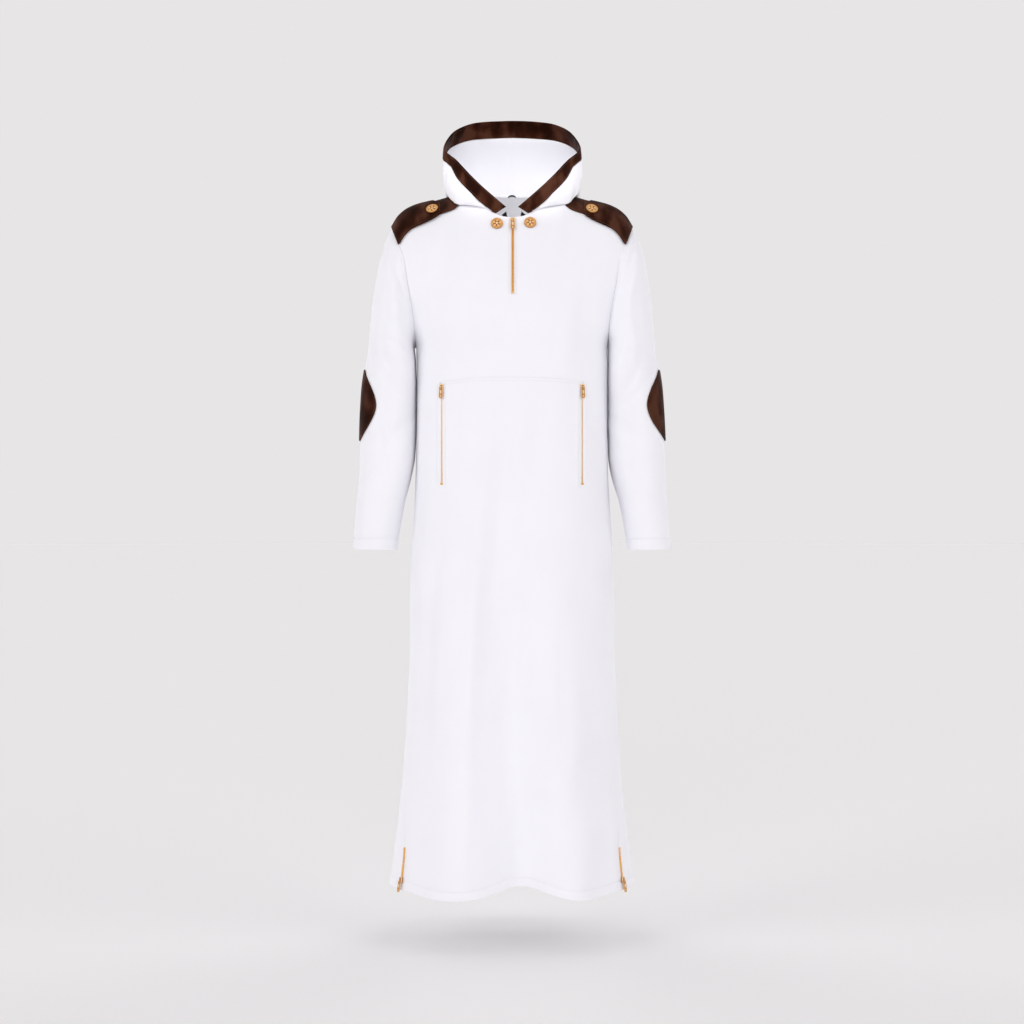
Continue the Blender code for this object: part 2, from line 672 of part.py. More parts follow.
# ------------------------------------------------------------------ trims made from a grid
def between(start, end, share):
    point = start[0].lerp(end[0], share)
    return point, start[1].lerp(end[1], share).normalized()


def grid_at(rows, j, i):
    """Point and normal between the rows and columns of a grid."""
    j0, i0 = min(int(j), len(rows) - 2), min(int(i), len(rows[0]) - 2)
    upper = between(rows[j0][i0], rows[j0][i0 + 1], i - i0)
    lower = between(rows[j0 + 1][i0], rows[j0 + 1][i0 + 1], i - i0)
    return between(upper, lower, j - j0)


def turned(lines):
    """Rows from a list of lines, one line a column."""
    return [list(row) for row in zip(*lines)]


def marks_to(lowest):
    """Rows of a strap's grid down the front; none of its facets spans one of the panel's."""
    return (1.0, 2.0, 3.0 if lowest > 3.01 else (2.0 + lowest) / 2, lowest)


def strap_rows(front, back):
    """The left strap, from the back over the crest and down the front."""
    last = len(back[0]) - 1
    lines = []
    for column, lowest in STRAP_EDGE:
        line = [grid_at(back, j, last - column) for j in (STRAP_BACK, 1.0)]
        line.append(between(grid_at(back, 0.0, last - column), grid_at(front, 0.0, column), 0.5))
        line += [grid_at(front, j, column) for j in marks_to(lowest)]
        lines.append(line)
    return turned(lines)


def epaulette_rows(front):
    """The left epaulette, whose end is cut to a point."""
    lines = []
    for column, top, lowest in EPAULETTE_EDGE:
        marks = marks_to(lowest)
        second = marks[0] if top < marks[0] else (top + marks[1]) / 2
        lines.append([grid_at(front, j, column) for j in (top, second, *marks[1:])])
    return turned(lines)


def patch_rows(sleeve):
    """The left elbow patch: an oval on the sleeve's own columns."""
    step = 360.0 / SLEEVE_COLUMNS
    wide = round(2 * PATCH_HALF[1] / step)
    lines = []
    for i in range(wide + 1):
        angle = PATCH_MIDDLE[1] - PATCH_HALF[1] + i * step
        reach = PATCH_HALF[0] * math.sqrt(max(0.0, 1.0 - ((angle - PATCH_MIDDLE[1]) / PATCH_HALF[1]) ** 2))
        low, high = PATCH_MIDDLE[0] - reach, PATCH_MIDDLE[0] + reach
        inner = [min(max(share, low), high) for share in SLEEVE_ROWS
                 if PATCH_ROWS[0] < share < PATCH_ROWS[1]]
        shares = [low, (low + inner[0]) / 2] + inner + [(inner[-1] + high) / 2, high]
        column = round(angle / step) % SLEEVE_COLUMNS
        lines.append([grid_at(sleeve, row_of(share), column) for share in shares])
    return turned(lines)


def row_of(share):
    """Row of the sleeve's grid at a share of its length, with its fraction."""
    j = min(bisect_right(SLEEVE_ROWS, share), len(SLEEVE_ROWS) - 1) - 1
    return j + (share - SLEEVE_ROWS[j]) / (SLEEVE_ROWS[j + 1] - SLEEVE_ROWS[j])


# ------------------------------------------------------------------ hard pieces
def loop_corner(step, deep, ring):
    """Corner of the hanger loop: along its arch, front or back, inside or outside."""
    angle = math.pi * (1 - step / LOOP_STEPS)
    return Vector((LOOP_HALF[ring] * math.cos(angle), LOOP_Y[deep],
                   LOOP_BASE + LOOP_RISE[ring] * math.sin(angle)))


def shape_of(rows):
    """Facets of a grid, to seat hard pieces on."""
    width = len(rows[0])
    points = [point for row in rows for point, _ in row]
    faces = []
    for j in range(len(rows) - 1):
        for i in range(width - 1):
            a = j * width + i
            faces.append((a, a + 1, a + 1 + width, a + width))
    return BVHTree.FromPolygons(points, faces)


def front_normal(x, z):
    step = 0.001
    across = torso_point(-1, x + step, z) - torso_point(-1, x - step, z)
    up = torso_point(-1, x, z + step) - torso_point(-1, x, z - step)
    return across.cross(up).normalized()


class Seat:
    """A place on the front panel: sideways, along the zip and outward."""

    def __init__(self, shape, x, z, along):
        self.out = front_normal(x, z)
        self.point = shape.find_nearest(torso_point(-1, x, z))[0]
        self.along = (along - self.out * along.dot(self.out)).normalized()
        self.side = self.along.cross(self.out)

    def at(self, s, t, n):
        return self.point + self.side * s + self.along * t + self.out * n


def blocks(name, cuts, filled, place, finish):
    """A closed body from the filled cells of a block of cells. Place maps the numbers of
    the cuts to a point."""
    index = {}
    points = []

    def corner(key):
        if key not in index:
            index[key] = len(points)
            points.append(place(*key))
        return index[key]
    sides = [((0, 0, 0), (0, 1, 0), (1, 1, 0), (1, 0, 0), (0, 0, -1)),
             ((0, 0, 1), (1, 0, 1), (1, 1, 1), (0, 1, 1), (0, 0, 1)),
             ((0, 0, 0), (1, 0, 0), (1, 0, 1), (0, 0, 1), (0, -1, 0)),
             ((0, 1, 0), (0, 1, 1), (1, 1, 1), (1, 1, 0), (0, 1, 0)),
             ((0, 0, 0), (0, 0, 1), (0, 1, 1), (0, 1, 0), (-1, 0, 0)),
             ((1, 0, 0), (1, 1, 0), (1, 1, 1), (1, 0, 1), (1, 0, 0))]
    cells = {(a, b, c) for a in range(cuts[0]) for b in range(cuts[1]) for c in range(cuts[2])
             if filled(a, b, c)}
    faces = []
    for cell in sorted(cells):
        for *ring, step in sides:
            if tuple(p + q for p, q in zip(cell, step)) not in cells:
                faces.append([corner(tuple(p + q for p, q in zip(cell, at))) for at in ring])
    return solid(name, points, faces, finish)


def chain(name, seats, widths, finish):
    """A row of closed zip teeth as one strip."""
    points = []
    for seat, width in zip(seats, widths):
        for s, n in ((-1, 0), (1, 0), (1, 1), (-1, 1)):
            points.append(seat.at(s * width / 2, 0.0, CHAIN_LIFT + n * CHAIN_HEIGHT))
    faces = [(0, 1, 2, 3)]
    for j in range(len(seats) - 1):
        for i in range(4):
            a, b = j * 4 + i, j * 4 + (i + 1) % 4
            faces.append((a, a + 4, b + 4, b))
    top = (len(seats) - 1) * 4
    faces.append((top + 3, top + 2, top + 1, top))
    return solid(name, points, faces, finish, smooth=False)


def slider(name, seat, body_shift, wide_up, finish):
    """Slider with the arch that holds its tab. The seat is under the tab's hinge."""
    half = SLIDER_LENGTH / 2
    sides = (-1.0, -BRIDGE_WIDTH / 2, BRIDGE_WIDTH / 2, 1.0)
    along = (body_shift - half, -BRIDGE_HALF, -BRIDGE_OPENING, BRIDGE_OPENING, BRIDGE_HALF,
             body_shift + half)
    heights = (SLIDER_BASE, SLIDER_TOP, BRIDGE_INSIDE, BRIDGE_TOP)

    def filled(a, b, c):
        if c == 0:
            return True
        if a != 1 or b not in (1, 2, 3):
            return False
        return c == 2 or b != 2

    def place(a, b, c):
        t = along[b]
        up = (t - body_shift + half) / SLIDER_LENGTH
        share = up if wide_up else 1.0 - up
        wide = (SLIDER_NARROW + (SLIDER_WIDE - SLIDER_NARROW) * share) / 2
        s = sides[a] * wide if a in (0, 3) else sides[a]
        return seat.at(s, t, heights[c])
    return blocks(name, (3, 5, 3), filled, place, finish)


def tab(name, seat, finish):
    """Tab that hangs from the slider's arch, its origin on the hinge."""
    pivot = seat.at(0.0, 0.0, TAB_AXIS)
    sides = (-1.0, -TAB_EYE, TAB_EYE, 1.0)

    def filled(a, b, c):
        return not (a == 1 and b == 1)

    def place(a, b, c):
        away, half = TAB_OUTLINE[b]
        s = sides[a] * half if a in (0, 3) else sides[a]
        return seat.at(s, -away, TAB_AXIS + (0.5 - c) * TAB_THICK) - pivot
    item = blocks(name, (3, len(TAB_OUTLINE) - 1, 1), filled, place, finish)
    item.location = pivot
    return item


def button(name, shape, near, out, finish):
    """A round button seated on its back, just clear of the facets under it."""
    side = out.orthogonal().normalized()
    other = out.cross(side)
    point = shape.find_nearest(near)[0]
    rise = 0.0
    for i in range(BUTTON_SIDES):
        turn = 2 * math.pi * i / BUTTON_SIDES
        for r in (BUTTON_R / 3, BUTTON_R * 2 / 3, BUTTON_R):
            start = point + (side * math.cos(turn) + other * math.sin(turn)) * r + out * BUTTON_R
            hit = shape.ray_cast(start, -out)[0]
            if hit:
                rise = max(rise, (hit - point).dot(out))
    point = point + out * rise
    points = [point + out * BUTTON_SEAT]
    for r, h in BUTTON_SECTION:
        for i in range(BUTTON_SIDES):
            turn = 2 * math.pi * i / BUTTON_SIDES
            round_at = side * math.cos(turn) + other * math.sin(turn)
            points.append(point + round_at * r + out * (BUTTON_SEAT + h))
    points.append(point + out * (BUTTON_SEAT + BUTTON_TOP))
    top = len(points) - 1
    last = top - BUTTON_SIDES
    faces = []
    for i in range(BUTTON_SIDES):
        j = (i + 1) % BUTTON_SIDES
        faces.append((0, 1 + j, 1 + i))
        faces.append((top, last + i, last + j))
        for ring in range(len(BUTTON_SECTION) - 1):
            a = 1 + ring * BUTTON_SIDES
            faces.append((a + i, a + j, a + BUTTON_SIDES + j, a + BUTTON_SIDES + i))
    return solid(name, points, faces, finish)


def prism(name, outline, depth, finish):
    """An outline and the same outline moved by the depth."""
    count = len(outline)
    points = list(outline) + [point + depth for point in outline]
    faces = [tuple(range(count)), tuple(reversed(range(count, 2 * count)))]
    for i in range(count):
        j = (i + 1) % count
        faces.append((j, i, count + i, count + j))
    return solid(name, points, faces, finish, smooth=False)


# ------------------------------------------------------------------ zips
def straight_zip(label, shape, x, top, end, finish):
    """A vertical zip closed by a slider at its top."""
    up = Vector((0, 0, 1))
    middle = top - SLIDER_LENGTH / 2
    start = top - SLIDER_LENGTH - SLIDER_GAP
    steps = math.ceil((start - end) / CHAIN_STEP)
    heights = [start + (end - start) * i / steps for i in range(steps + 1)]
    seats = [Seat(shape, x, z, up) for z in heights]
    widths = [CHAIN_WIDTH] * len(seats)
    for z in (end - STOP_STEP, end - STOP_LENGTH):
        seats.append(Seat(shape, x, z, up))
        widths.append(STOP_WIDTH)
    chain("zip_" + label, seats[::-1], widths[::-1], finish)
    seat = Seat(shape, x, middle, up)
    slider("slider_" + label, seat, 0.0, True, finish)
    tab("tab_" + label, seat, finish)


def seam_x(z):
    seam = math.radians(body_section(z)[3])
    return body_point(seam, z).x


def hem_zip(label, shape, side, finish):
    """A zip down the side seam to the hem, its slider upside down at the bottom."""
    def seat_at(z):
        x, x_below = seam_x(z), seam_x(z - SEAM_STEP)
        along = torso_point(-1, side * x, z) - torso_point(-1, side * x_below, z - SEAM_STEP)
        return Seat(shape, side * x, z, along)
    steps = math.ceil((HEM_ZIP_TOP - HEM_ZIP_END) / CHAIN_STEP)
    heights = [HEM_ZIP_END + (HEM_ZIP_TOP - HEM_ZIP_END) * i / steps for i in range(steps + 1)]
    seats = [seat_at(z) for z in heights]
    chain("zip_" + label, seats, [CHAIN_WIDTH] * len(seats), finish)
    seat = seat_at(HEM_ZIP_END - SLIDER_GAP - SLIDER_LENGTH / 2 - HEM_BRIDGE_SHIFT)
    slider("slider_" + label, seat, HEM_BRIDGE_SHIFT, False, finish)
    tab("tab_" + label, seat, finish)


# ------------------------------------------------------------------ the garment
def build():
    for item in list(bpy.data.objects):
        bpy.data.objects.remove(item)
    white = make_finish("white_knit", (0.860, 0.855, 0.885), 0.85)
    brown = make_finish("brown_satin", (0.045, 0.014, 0.009), 0.55)
    gold = make_finish("gold_metal", (0.62, 0.33, 0.09), 0.30, metallic=1.0)
    black = make_finish("black_tape", (0.012, 0.011, 0.012), 0.80)

    front, back = panel_grid(-1), panel_grid(1)
    sleeve, hood = sleeve_grid(), hood_grid()
    wall("front", front, CLOTH, 0.0, white)
    wall("back", back, CLOTH, 0.0, white)
    wall("sleeve_left", sleeve, CLOTH, 0.0, white, ring=True)
    wall("sleeve_right", mirrored(sleeve), CLOTH, 0.0, white, ring=True)
    wall("hood_left", hood, CLOTH, 0.0, white)
    wall("hood_right", mirrored(hood), CLOTH, 0.0, white)
    wall("hood_band", band_grid(), BAND, BAND_LIFT, brown)

    straps = strap_rows(front, back)
    epaulette = epaulette_rows(front)
    patch = patch_rows(sleeve)
    strap_top = TRIM_GAP + STRAP
    epaulette_top = strap_top + TRIM_GAP + EPAULETTE
    for label, turn in (("left", lambda rows: rows), ("right", mirrored)):
        wall("strap_" + label, turn(straps), STRAP, strap_top, brown)
        wall("epaulette_" + label, turn(epaulette), EPAULETTE, epaulette_top, brown)
        wall("patch_" + label, turn(patch), STRAP, PATCH_GAP + STRAP, brown)

    shape = shape_of(front)
    for label, x, z in FRONT_BUTTONS:
        button("button_front_" + label, shape, torso_point(-1, x, z), front_normal(x, z), gold)
    x, drop = EPAULETTE_BUTTON
    z = crest(-1, x) - drop
    for label, side, rows in (("left", 1, epaulette), ("right", -1, mirrored(epaulette))):
        top = shape_of([[(point + out * epaulette_top, out) for point, out in row] for row in rows])
        out = front_normal(side * x, z)
        button("button_epaulette_" + label, top, torso_point(-1, side * x, z) + out * epaulette_top,
               out, gold)

    straight_zip("neck", shape, *NECK_ZIP, gold)
    x, top, end = POCKET_ZIP
    for label, side in (("left", 1), ("right", -1)):
        straight_zip("pocket_" + label, shape, side * x, top, end, gold)
        hem_zip("hem_" + label, shape, side, gold)

    blocks("hanger_loop", (LOOP_STEPS, 1, 1), lambda a, b, c: True, loop_corner, black)
    for label, side in (("left", 1), ("right", -1)):
        corners = []
        for x, z in TAPE_CORNERS:
            place = TAPE_MIDDLE + side * x
            depth = torso_point(-1, TAPE_MIDDLE + side * TAPE_CORNERS[0][0], TAPE_CORNERS[0][1]).y
            corners.append(Vector((place, depth + TAPE_LEAN * (z - TAPE_CORNERS[0][1]), z)))
        outline = corners if side > 0 else corners[::-1]
        prism("neck_tape_" + label, [point + Vector((0, CLOTH + TRIM_GAP, 0)) for point in outline],
              Vector((0, TAPE_THICK, 0)), black)


build()
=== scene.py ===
import math
from bisect import bisect_right

import bmesh
import bpy
import numpy as np
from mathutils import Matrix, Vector
from mathutils.bvhtree import BVHTree


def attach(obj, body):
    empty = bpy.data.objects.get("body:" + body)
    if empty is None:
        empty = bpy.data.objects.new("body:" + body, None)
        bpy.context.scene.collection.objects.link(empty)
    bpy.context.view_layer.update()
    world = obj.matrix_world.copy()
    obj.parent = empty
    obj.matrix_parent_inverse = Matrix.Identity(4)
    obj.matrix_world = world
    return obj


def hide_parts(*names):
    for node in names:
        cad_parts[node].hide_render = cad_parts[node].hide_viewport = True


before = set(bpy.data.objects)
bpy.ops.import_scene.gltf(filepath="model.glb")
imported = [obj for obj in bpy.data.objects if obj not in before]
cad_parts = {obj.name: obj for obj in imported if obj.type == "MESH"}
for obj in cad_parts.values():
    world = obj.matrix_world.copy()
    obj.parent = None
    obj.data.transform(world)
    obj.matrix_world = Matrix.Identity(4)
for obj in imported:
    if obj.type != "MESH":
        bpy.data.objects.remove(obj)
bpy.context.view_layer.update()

GARMENT = "garment"

# ------------------------------------------------------------------ the garment's sizes
CLOTH = 0.0018
STRAP = 0.0016
EPAULETTE = 0.0022
BAND = 0.0030
SEAM = 0.0004
UNDERARM_Z = -0.285
SHOULDER_Z = -0.0465
SHOULDER_X = 0.2385
NECK_X = 0.098
HOOD_FRONT_X = NECK_X / 3
HEM_Z = -1.3655
SECTION_POWER = 2.5
CREST_SOFT = 0.090
CREST_POWER = 0.75
UNDERARM_GAP = 0.0006

# Body sections from the hem up: height, half width, front depth, back depth, and how far
# the side seam is turned to the front, in degrees.
BODY = [
    (-1.370, 0.2455, 0.176, 0.170, 29.5),
    (-1.300, 0.2360, 0.168, 0.162, 29.0),
    (-1.230, 0.2270, 0.161, 0.154, 25.5),
    (-1.140, 0.2185, 0.154, 0.146, 20.0),
    (-1.070, 0.2125, 0.150, 0.141, 15.0),
    (-0.980, 0.2085, 0.146, 0.136, 7.0),
    (-0.860, 0.2045, 0.142, 0.133, 0.0),
    (-0.720, 0.2035, 0.138, 0.126, 0.0),
    (-0.600, 0.1950, 0.135, 0.117, 0.0),
    (-0.460, 0.1915, 0.132, 0.113, 0.0),
    (-0.340, 0.1910, 0.131, 0.117, 0.0),
    (-0.285, 0.1915, 0.130, 0.121, 0.0),
    (-0.245, 0.2060, 0.129, 0.123, 0.0),
    (-0.1975, 0.2220, 0.128, 0.125, 0.0),
    (-0.1525, 0.2450, 0.127, 0.126, 0.0),
    (-0.112, 0.2700, 0.126, 0.126, 0.0),
    (-0.085, 0.2850, 0.125, 0.125, 0.0),
    (-0.045, 0.3050, 0.124, 0.124, 0.0),
    (0.050, 0.3300, 0.122, 0.121, 0.0),
]
# Crest of the shoulders from the neck out: distance from the middle, height in front, height
# behind. Inside the neck it is the height that the neck would rise to.
CREST = [
    (0.000, 0.0300, 0.0850),
    (0.040, 0.0295, 0.0780),
    (0.070, 0.0285, 0.0580),
    (0.090, 0.0275, 0.0384),
    (0.098, 0.0270, 0.0270),
    (0.115, 0.0195, 0.0195),
    (0.133, 0.0125, 0.0125),
    (0.152, 0.0070, 0.0070),
    (0.170, 0.0028, 0.0028),
    (0.187, -0.0015, -0.0015),
    (0.2066, -0.0098, -0.0098),
    (0.2240, -0.0238, -0.0238),
    (0.2385, -0.0465, -0.0465),
]
# Neckline: distance from the middle, height in front, height behind.
NECKLINE = [
    (0.000, -0.0322, 0.0240),
    (0.020, -0.0300, 0.0241),
    (0.033, -0.0250, 0.0243),
    (0.050, -0.0165, 0.0247),
    (0.065, -0.0095, 0.0252),
    (0.082, 0.0010, 0.0258),
    (0.090, 0.0100, 0.0262),
    (0.098, 0.0270, 0.0270),
]
# Armhole: share of the way up from the underarm, distance from the middle in front, behind.
ARMHOLE = [
    (0.000, 0.1915, 0.1915),
    (0.168, 0.1936, 0.2000),
    (0.367, 0.2000, 0.2095),
    (0.555, 0.2075, 0.2170),
    (0.725, 0.2135, 0.2235),
    (0.839, 0.2240, 0.2300),
    (1.000, 0.2385, 0.2385),
]
# Long soft folds of the skirt in front (-1) and behind (1): height and place where a fold
# starts, height and place where it bends, its place at the hem, half width at start and hem,
# and how far it stands out at the hem (below zero for a trough).
FOLDS = {
    -1: [
        (-0.38, -0.005, -1.05, -0.014, 0.014, 0.030, 0.058, -0.042),
        (-0.52, -0.075, -1.10, -0.105, -0.118, 0.040, 0.050, 0.010),
        (-0.52, 0.080, -1.10, 0.110, 0.128, 0.042, 0.052, 0.012),
        (-0.62, -0.165, -1.05, -0.178, -0.186, 0.022, 0.026, -0.007),
        (-0.60, 0.158, -1.05, 0.172, 0.182, 0.024, 0.028, -0.009),
    ],
    1: [
        (-0.45, 0.060, -1.05, 0.072, 0.080, 0.030, 0.050, -0.026),
        (-0.55, -0.070, -1.10, -0.082, -0.096, 0.030, 0.048, -0.022),
        (-0.60, -0.010, -1.15, -0.006, 0.000, 0.036, 0.044, 0.012),
        (-0.70, 0.160, -1.10, 0.168, 0.176, 0.024, 0.028, 0.007),
        (-0.70, -0.160, -1.10, -0.170, -0.178, 0.024, 0.028, 0.007),
    ],
}
# Rises of the hem in front (-1) and behind (1): place, half width, height of the rise.
HEM_RISES = {
    -1: [
        (0.0215, 0.067, 0.0240),
        (-0.216, 0.045, 0.0115),
        (0.216, 0.045, 0.0115),
    ],
    1: [
        (0.080, 0.050, 0.009),
        (-0.096, 0.050, 0.008),
        (-0.235, 0.060, 0.012),
        (0.235, 0.060, 0.012),
    ],
}
# Sleeve, from the armhole (0) to the cuff (1): outer line, inner line, half depth front to
# back, and the middle's place front to back.
SLEEVE = [
    # share, outer x, outer z, inner x, inner z, half depth, middle y
    (0.00, 0.2385, -0.0465, 0.1915, -0.285, 0.0600, 0.000),
    (0.05, 0.2450, -0.0560, 0.1929, -0.288, 0.0660, -0.002),
    (0.12, 0.2560, -0.0780, 0.1932, -0.293, 0.0720, -0.004),
    (0.20, 0.2645, -0.1120, 0.1933, -0.300, 0.0780, -0.006),
    (0.30, 0.2720, -0.1620, 0.1933, -0.312, 0.0810, -0.008),
    (0.40, 0.2790, -0.2220, 0.1933, -0.332, 0.0810, -0.009),
    (0.50, 0.2860, -0.2920, 0.1933, -0.362, 0.0780, -0.008),
    (0.58, 0.2965, -0.3450, 0.1933, -0.390, 0.0740, -0.004),
    (0.66, 0.3008, -0.4050, 0.1933, -0.425, 0.0700, 0.000),
    (0.74, 0.3035, -0.4700, 0.1947, -0.474, 0.0660, 0.000),
    (0.82, 0.3058, -0.5340, 0.2005, -0.534, 0.0600, -0.006),
    (0.90, 0.3105, -0.6000, 0.2130, -0.600, 0.0510, -0.016),
    (0.96, 0.3140, -0.6550, 0.2235, -0.655, 0.0430, -0.025),
    (1.00, 0.3150, -0.6880, 0.2300, -0.689, 0.0385, -0.031),
]
SLEEVE_BLEND = 0.30       # share over which the armhole's shape turns into the arm's
SLEEVE_SLANT = 0.0009     # how far its creases run down the arm, as a share for each degree
# Creases of a sleeve: share and angle of the middle, half lengths along and round, depth.
SLEEVE_CREASES = [
    (0.52, 48.0, 0.035, 40.0, -0.0050),
    (0.70, 112.0, 0.030, 45.0, -0.0045),
    (0.30, 70.0, 0.120, 16.0, -0.0060),
    (0.62, 250.0, 0.030, 40.0, -0.0050),
]
# The hood, left half, from its front end (0) to the middle of the back (1). Each table is
# one line of points round it, from the neck seam up to the rim.
HOOD_SHARES = (0.00, 0.08, 0.20, 0.30, 0.40, 0.55, 0.70, 0.85, 1.00)
HOOD_LINES = [
    # base: over the neck seam
    [(0.0302, -0.0636, -0.0238), (0.0518, -0.0578, -0.0152), (0.0850, -0.0465, -0.0020),
     (0.1030, -0.0280, 0.0148), (0.1125, -0.0040, 0.0257), (0.1055, 0.0290, 0.0250),
     (0.0850, 0.0580, 0.0235), (0.0460, 0.0780, 0.0265), (0.0000, 0.0790, 0.0280)],
    # turn: where the hood turns up
    [(0.0275, -0.0657, -0.0223), (0.0504, -0.0610, -0.0141), (0.0868, -0.0535, -0.0075),
     (0.1135, -0.0440, -0.0030), (0.1277, -0.0070, 0.0190), (0.1280, 0.0360, 0.0060),
     (0.1180, 0.0860, -0.0160), (0.0760, 0.1260, -0.0660), (0.0000, 0.1380, -0.0900)],
    # side
    [(0.0234, -0.0690, -0.0200), (0.0472, -0.0645, -0.0102), (0.0858, -0.0595, -0.0020),
     (0.1185, -0.0390, 0.0210), (0.1335, 0.0060, 0.0495), (0.1365, 0.0300, 0.0440),
     (0.1340, 0.1040, 0.0120), (0.0980, 0.1700, -0.0300), (0.0000, 0.1930, -0.0640)],
    # under the rim
    [(0.0178, -0.0734, -0.0169), (0.0398, -0.0682, -0.0025), (0.0735, -0.0600, 0.0150),
     (0.1014, -0.0360, 0.0440), (0.1235, -0.0010, 0.0770), (0.1390, 0.0230, 0.0850),
     (0.1335, 0.0900, 0.0950), (0.0985, 0.1560, 0.0810), (0.0000, 0.1830, 0.0740)],
    # rim
    [(0.0120, -0.0780, -0.0137), (0.0312, -0.0703, 0.0042), (0.0593, -0.0560, 0.0306),
     (0.0860, -0.0400, 0.0586), (0.1105, -0.0200, 0.0860), (0.1365, 0.0120, 0.1165),
     (0.1190, 0.0640, 0.1558), (0.0735, 0.1040, 0.1815), (0.0000, 0.1180, 0.1882)],
]
# Where the hood's shares fall along the neckline: share, distance from the middle (below zero
# in front).
HOOD_SEAT = [(0.00, -HOOD_FRONT_X), (0.20, -0.082), (0.40, -NECK_X), (0.55, 0.090),
             (0.70, 0.070), (0.85, 0.036), (1.00, 0.000)]
BAND_WIDTHS = [(0.00, 0.0275), (0.20, 0.0262), (0.30, 0.0250), (0.40, 0.0245), (0.48, 0.0200),
               (0.55, 0.0230), (0.65, 0.0330), (0.75, 0.0380), (0.85, 0.0385), (1.00, 0.0375)]
HOOD_START = 0.040        # share where cloth begins to show below the band
HOOD_SEAT_GAP = 0.0010    # between the neckline and the hood's first row
BAND_GAP = 0.0008         # between the cloth and the border
BAND_LIFT = 0.0006        # how far the border stands out of the hood's cloth
TRIM_GAP = 0.0004         # under a strap or an epaulette
PATCH_GAP = 0.0010

# Shoulder strap and epaulette on the front panel's grid: column, lowest row. The epaulette
# also has its top row.
STRAP_EDGE = [(0, 3.14), (1, 3.15), (2, 3.02), (3, 2.85), (4, 2.75), (5, 2.68), (6, 2.65),
              (7, 2.63), (7.55, 2.48)]
STRAP_BACK = 1.6          # how far down the back the strap reaches, in rows
EPAULETTE_EDGE = [(0, 0.0, 3.20), (1, 0.0, 3.26), (2, 0.0, 3.22), (3, 0.0, 3.15),
                  (4, 0.0, 3.11), (5, 0.0, 2.99), (5.6, 0.3, 2.86), (5.8, 0.9, 2.79),
                  (6, 1.0, 2.68), (6.12, 1.4, 2.48)]
PATCH_MIDDLE = (0.650, 11.5)   # share and angle on the sleeve
PATCH_HALF = (0.0935, 56.5)


# ------------------------------------------------------------------ smooth tables
def slopes_of(keys, values):
    """Slopes through the values that never overshoot them."""
    steps = [(values[i + 1] - values[i]) / (keys[i + 1] - keys[i]) for i in range(len(keys) - 1)]
    slopes = [steps[0]]
    for before, after in zip(steps, steps[1:]):
        slopes.append(0.0 if before * after <= 0 else 2 * before * after / (before + after))
    slopes.append(steps[-1])
    return slopes


def round_slopes_of(keys, values):
    """Slopes through the values that turn evenly, for a line that bends back on itself."""
    gaps = [after - before for before, after in zip(keys, keys[1:])]
    steps = [(after - before) / gap for before, after, gap in zip(values, values[1:], gaps)]
    slopes = [(gaps[i] * steps[i + 1] + gaps[i + 1] * steps[i]) / (gaps[i] + gaps[i + 1])
              for i in range(len(gaps) - 1)]
    return [(3 * steps[0] - slopes[0]) / 2] + slopes + [(3 * steps[-1] - slopes[-1]) / 2]


def table(rows, level_first=(), level_last=(), slopes_from=slopes_of):
    """Read a table smoothly: a function from the first column to a tuple of the others. The
    listed columns start or end level, which makes them smooth where they meet their mirror."""
    keys = [row[0] for row in rows]
    columns = list(zip(*[row[1:] for row in rows]))
    slopes = [slopes_from(keys, column) for column in columns]
    for i in level_first:
        slopes[i][0] = 0.0
    for i in level_last:
        slopes[i][-1] = 0.0

    def read(key):
        key = min(max(key, keys[0]), keys[-1])
        i = min(bisect_right(keys, key), len(keys) - 1) - 1
        step = keys[i + 1] - keys[i]
        t = (key - keys[i]) / step
        start = (1 + 2 * t) * (1 - t) ** 2
        end = t * t * (3 - 2 * t)
        lead = t * (1 - t) ** 2 * step
        trail = t * t * (t - 1) * step
        return tuple(start * column[i] + end * column[i + 1] + lead * slope[i] + trail * slope[i + 1]
                     for column, slope in zip(columns, slopes))
    return read


def ease(t):
    t = min(max(t, 0.0), 1.0)
    return t * t * (3 - 2 * t)


def signed_power(value, power):
    return math.copysign(abs(value) ** power, value)


body_section = table(BODY)
crest_heights = table(CREST, level_first=(0, 1))
neckline_heights = table(NECKLINE, level_first=(0, 1))
armhole_places = table(ARMHOLE)
sleeve_lines = table(SLEEVE)
hood_seat = table(HOOD_SEAT)
band_width = table(BAND_WIDTHS)
hood_lines = [table([(share, *point) for share, point in zip(HOOD_SHARES, line)],
                    level_last=(1, 2)) for line in HOOD_LINES]


# ------------------------------------------------------------------ the body's surface
def crest(side, x):
    front, back = crest_heights(abs(x))
    return front if side < 0 else back


def neckline(side, x):
    front, back = neckline_heights(abs(x))
    return front if side < 0 else back


def rounding(side, x, z):
    """Share of the full depth that the surface has reached below the crest."""
    drop = max(0.0, crest(side, x) - z)
    return 1.0 - math.exp(-((drop / CREST_SOFT) ** CREST_POWER))


def fold_height(side, x, z):
    """How far the long folds stand out of the skirt."""
    total = 0.0
    for z0, x0, z1, x1, x2, w0, w2, height in FOLDS[side]:
        if z > z0:
            continue
        along = min((z0 - z) / (z0 - HEM_Z), 1.0)
        turn = (z0 - z1) / (z0 - HEM_Z)
        if along < turn:
            middle = x0 + (x1 - x0) * along / turn
        else:
            middle = x1 + (x2 - x1) * (along - turn) / (1 - turn)
        width = w0 + (w2 - w0) * along
        total += height * ease(along) * math.exp(-((x - middle) / width) ** 2)
    return total


def outside_point(side, x, z, depth, share):
    """Point of the front or back at a share of the section's full depth."""
    return Vector((x, side * (depth * rounding(side, x, z) + fold_height(side, x, z)) * share, z))


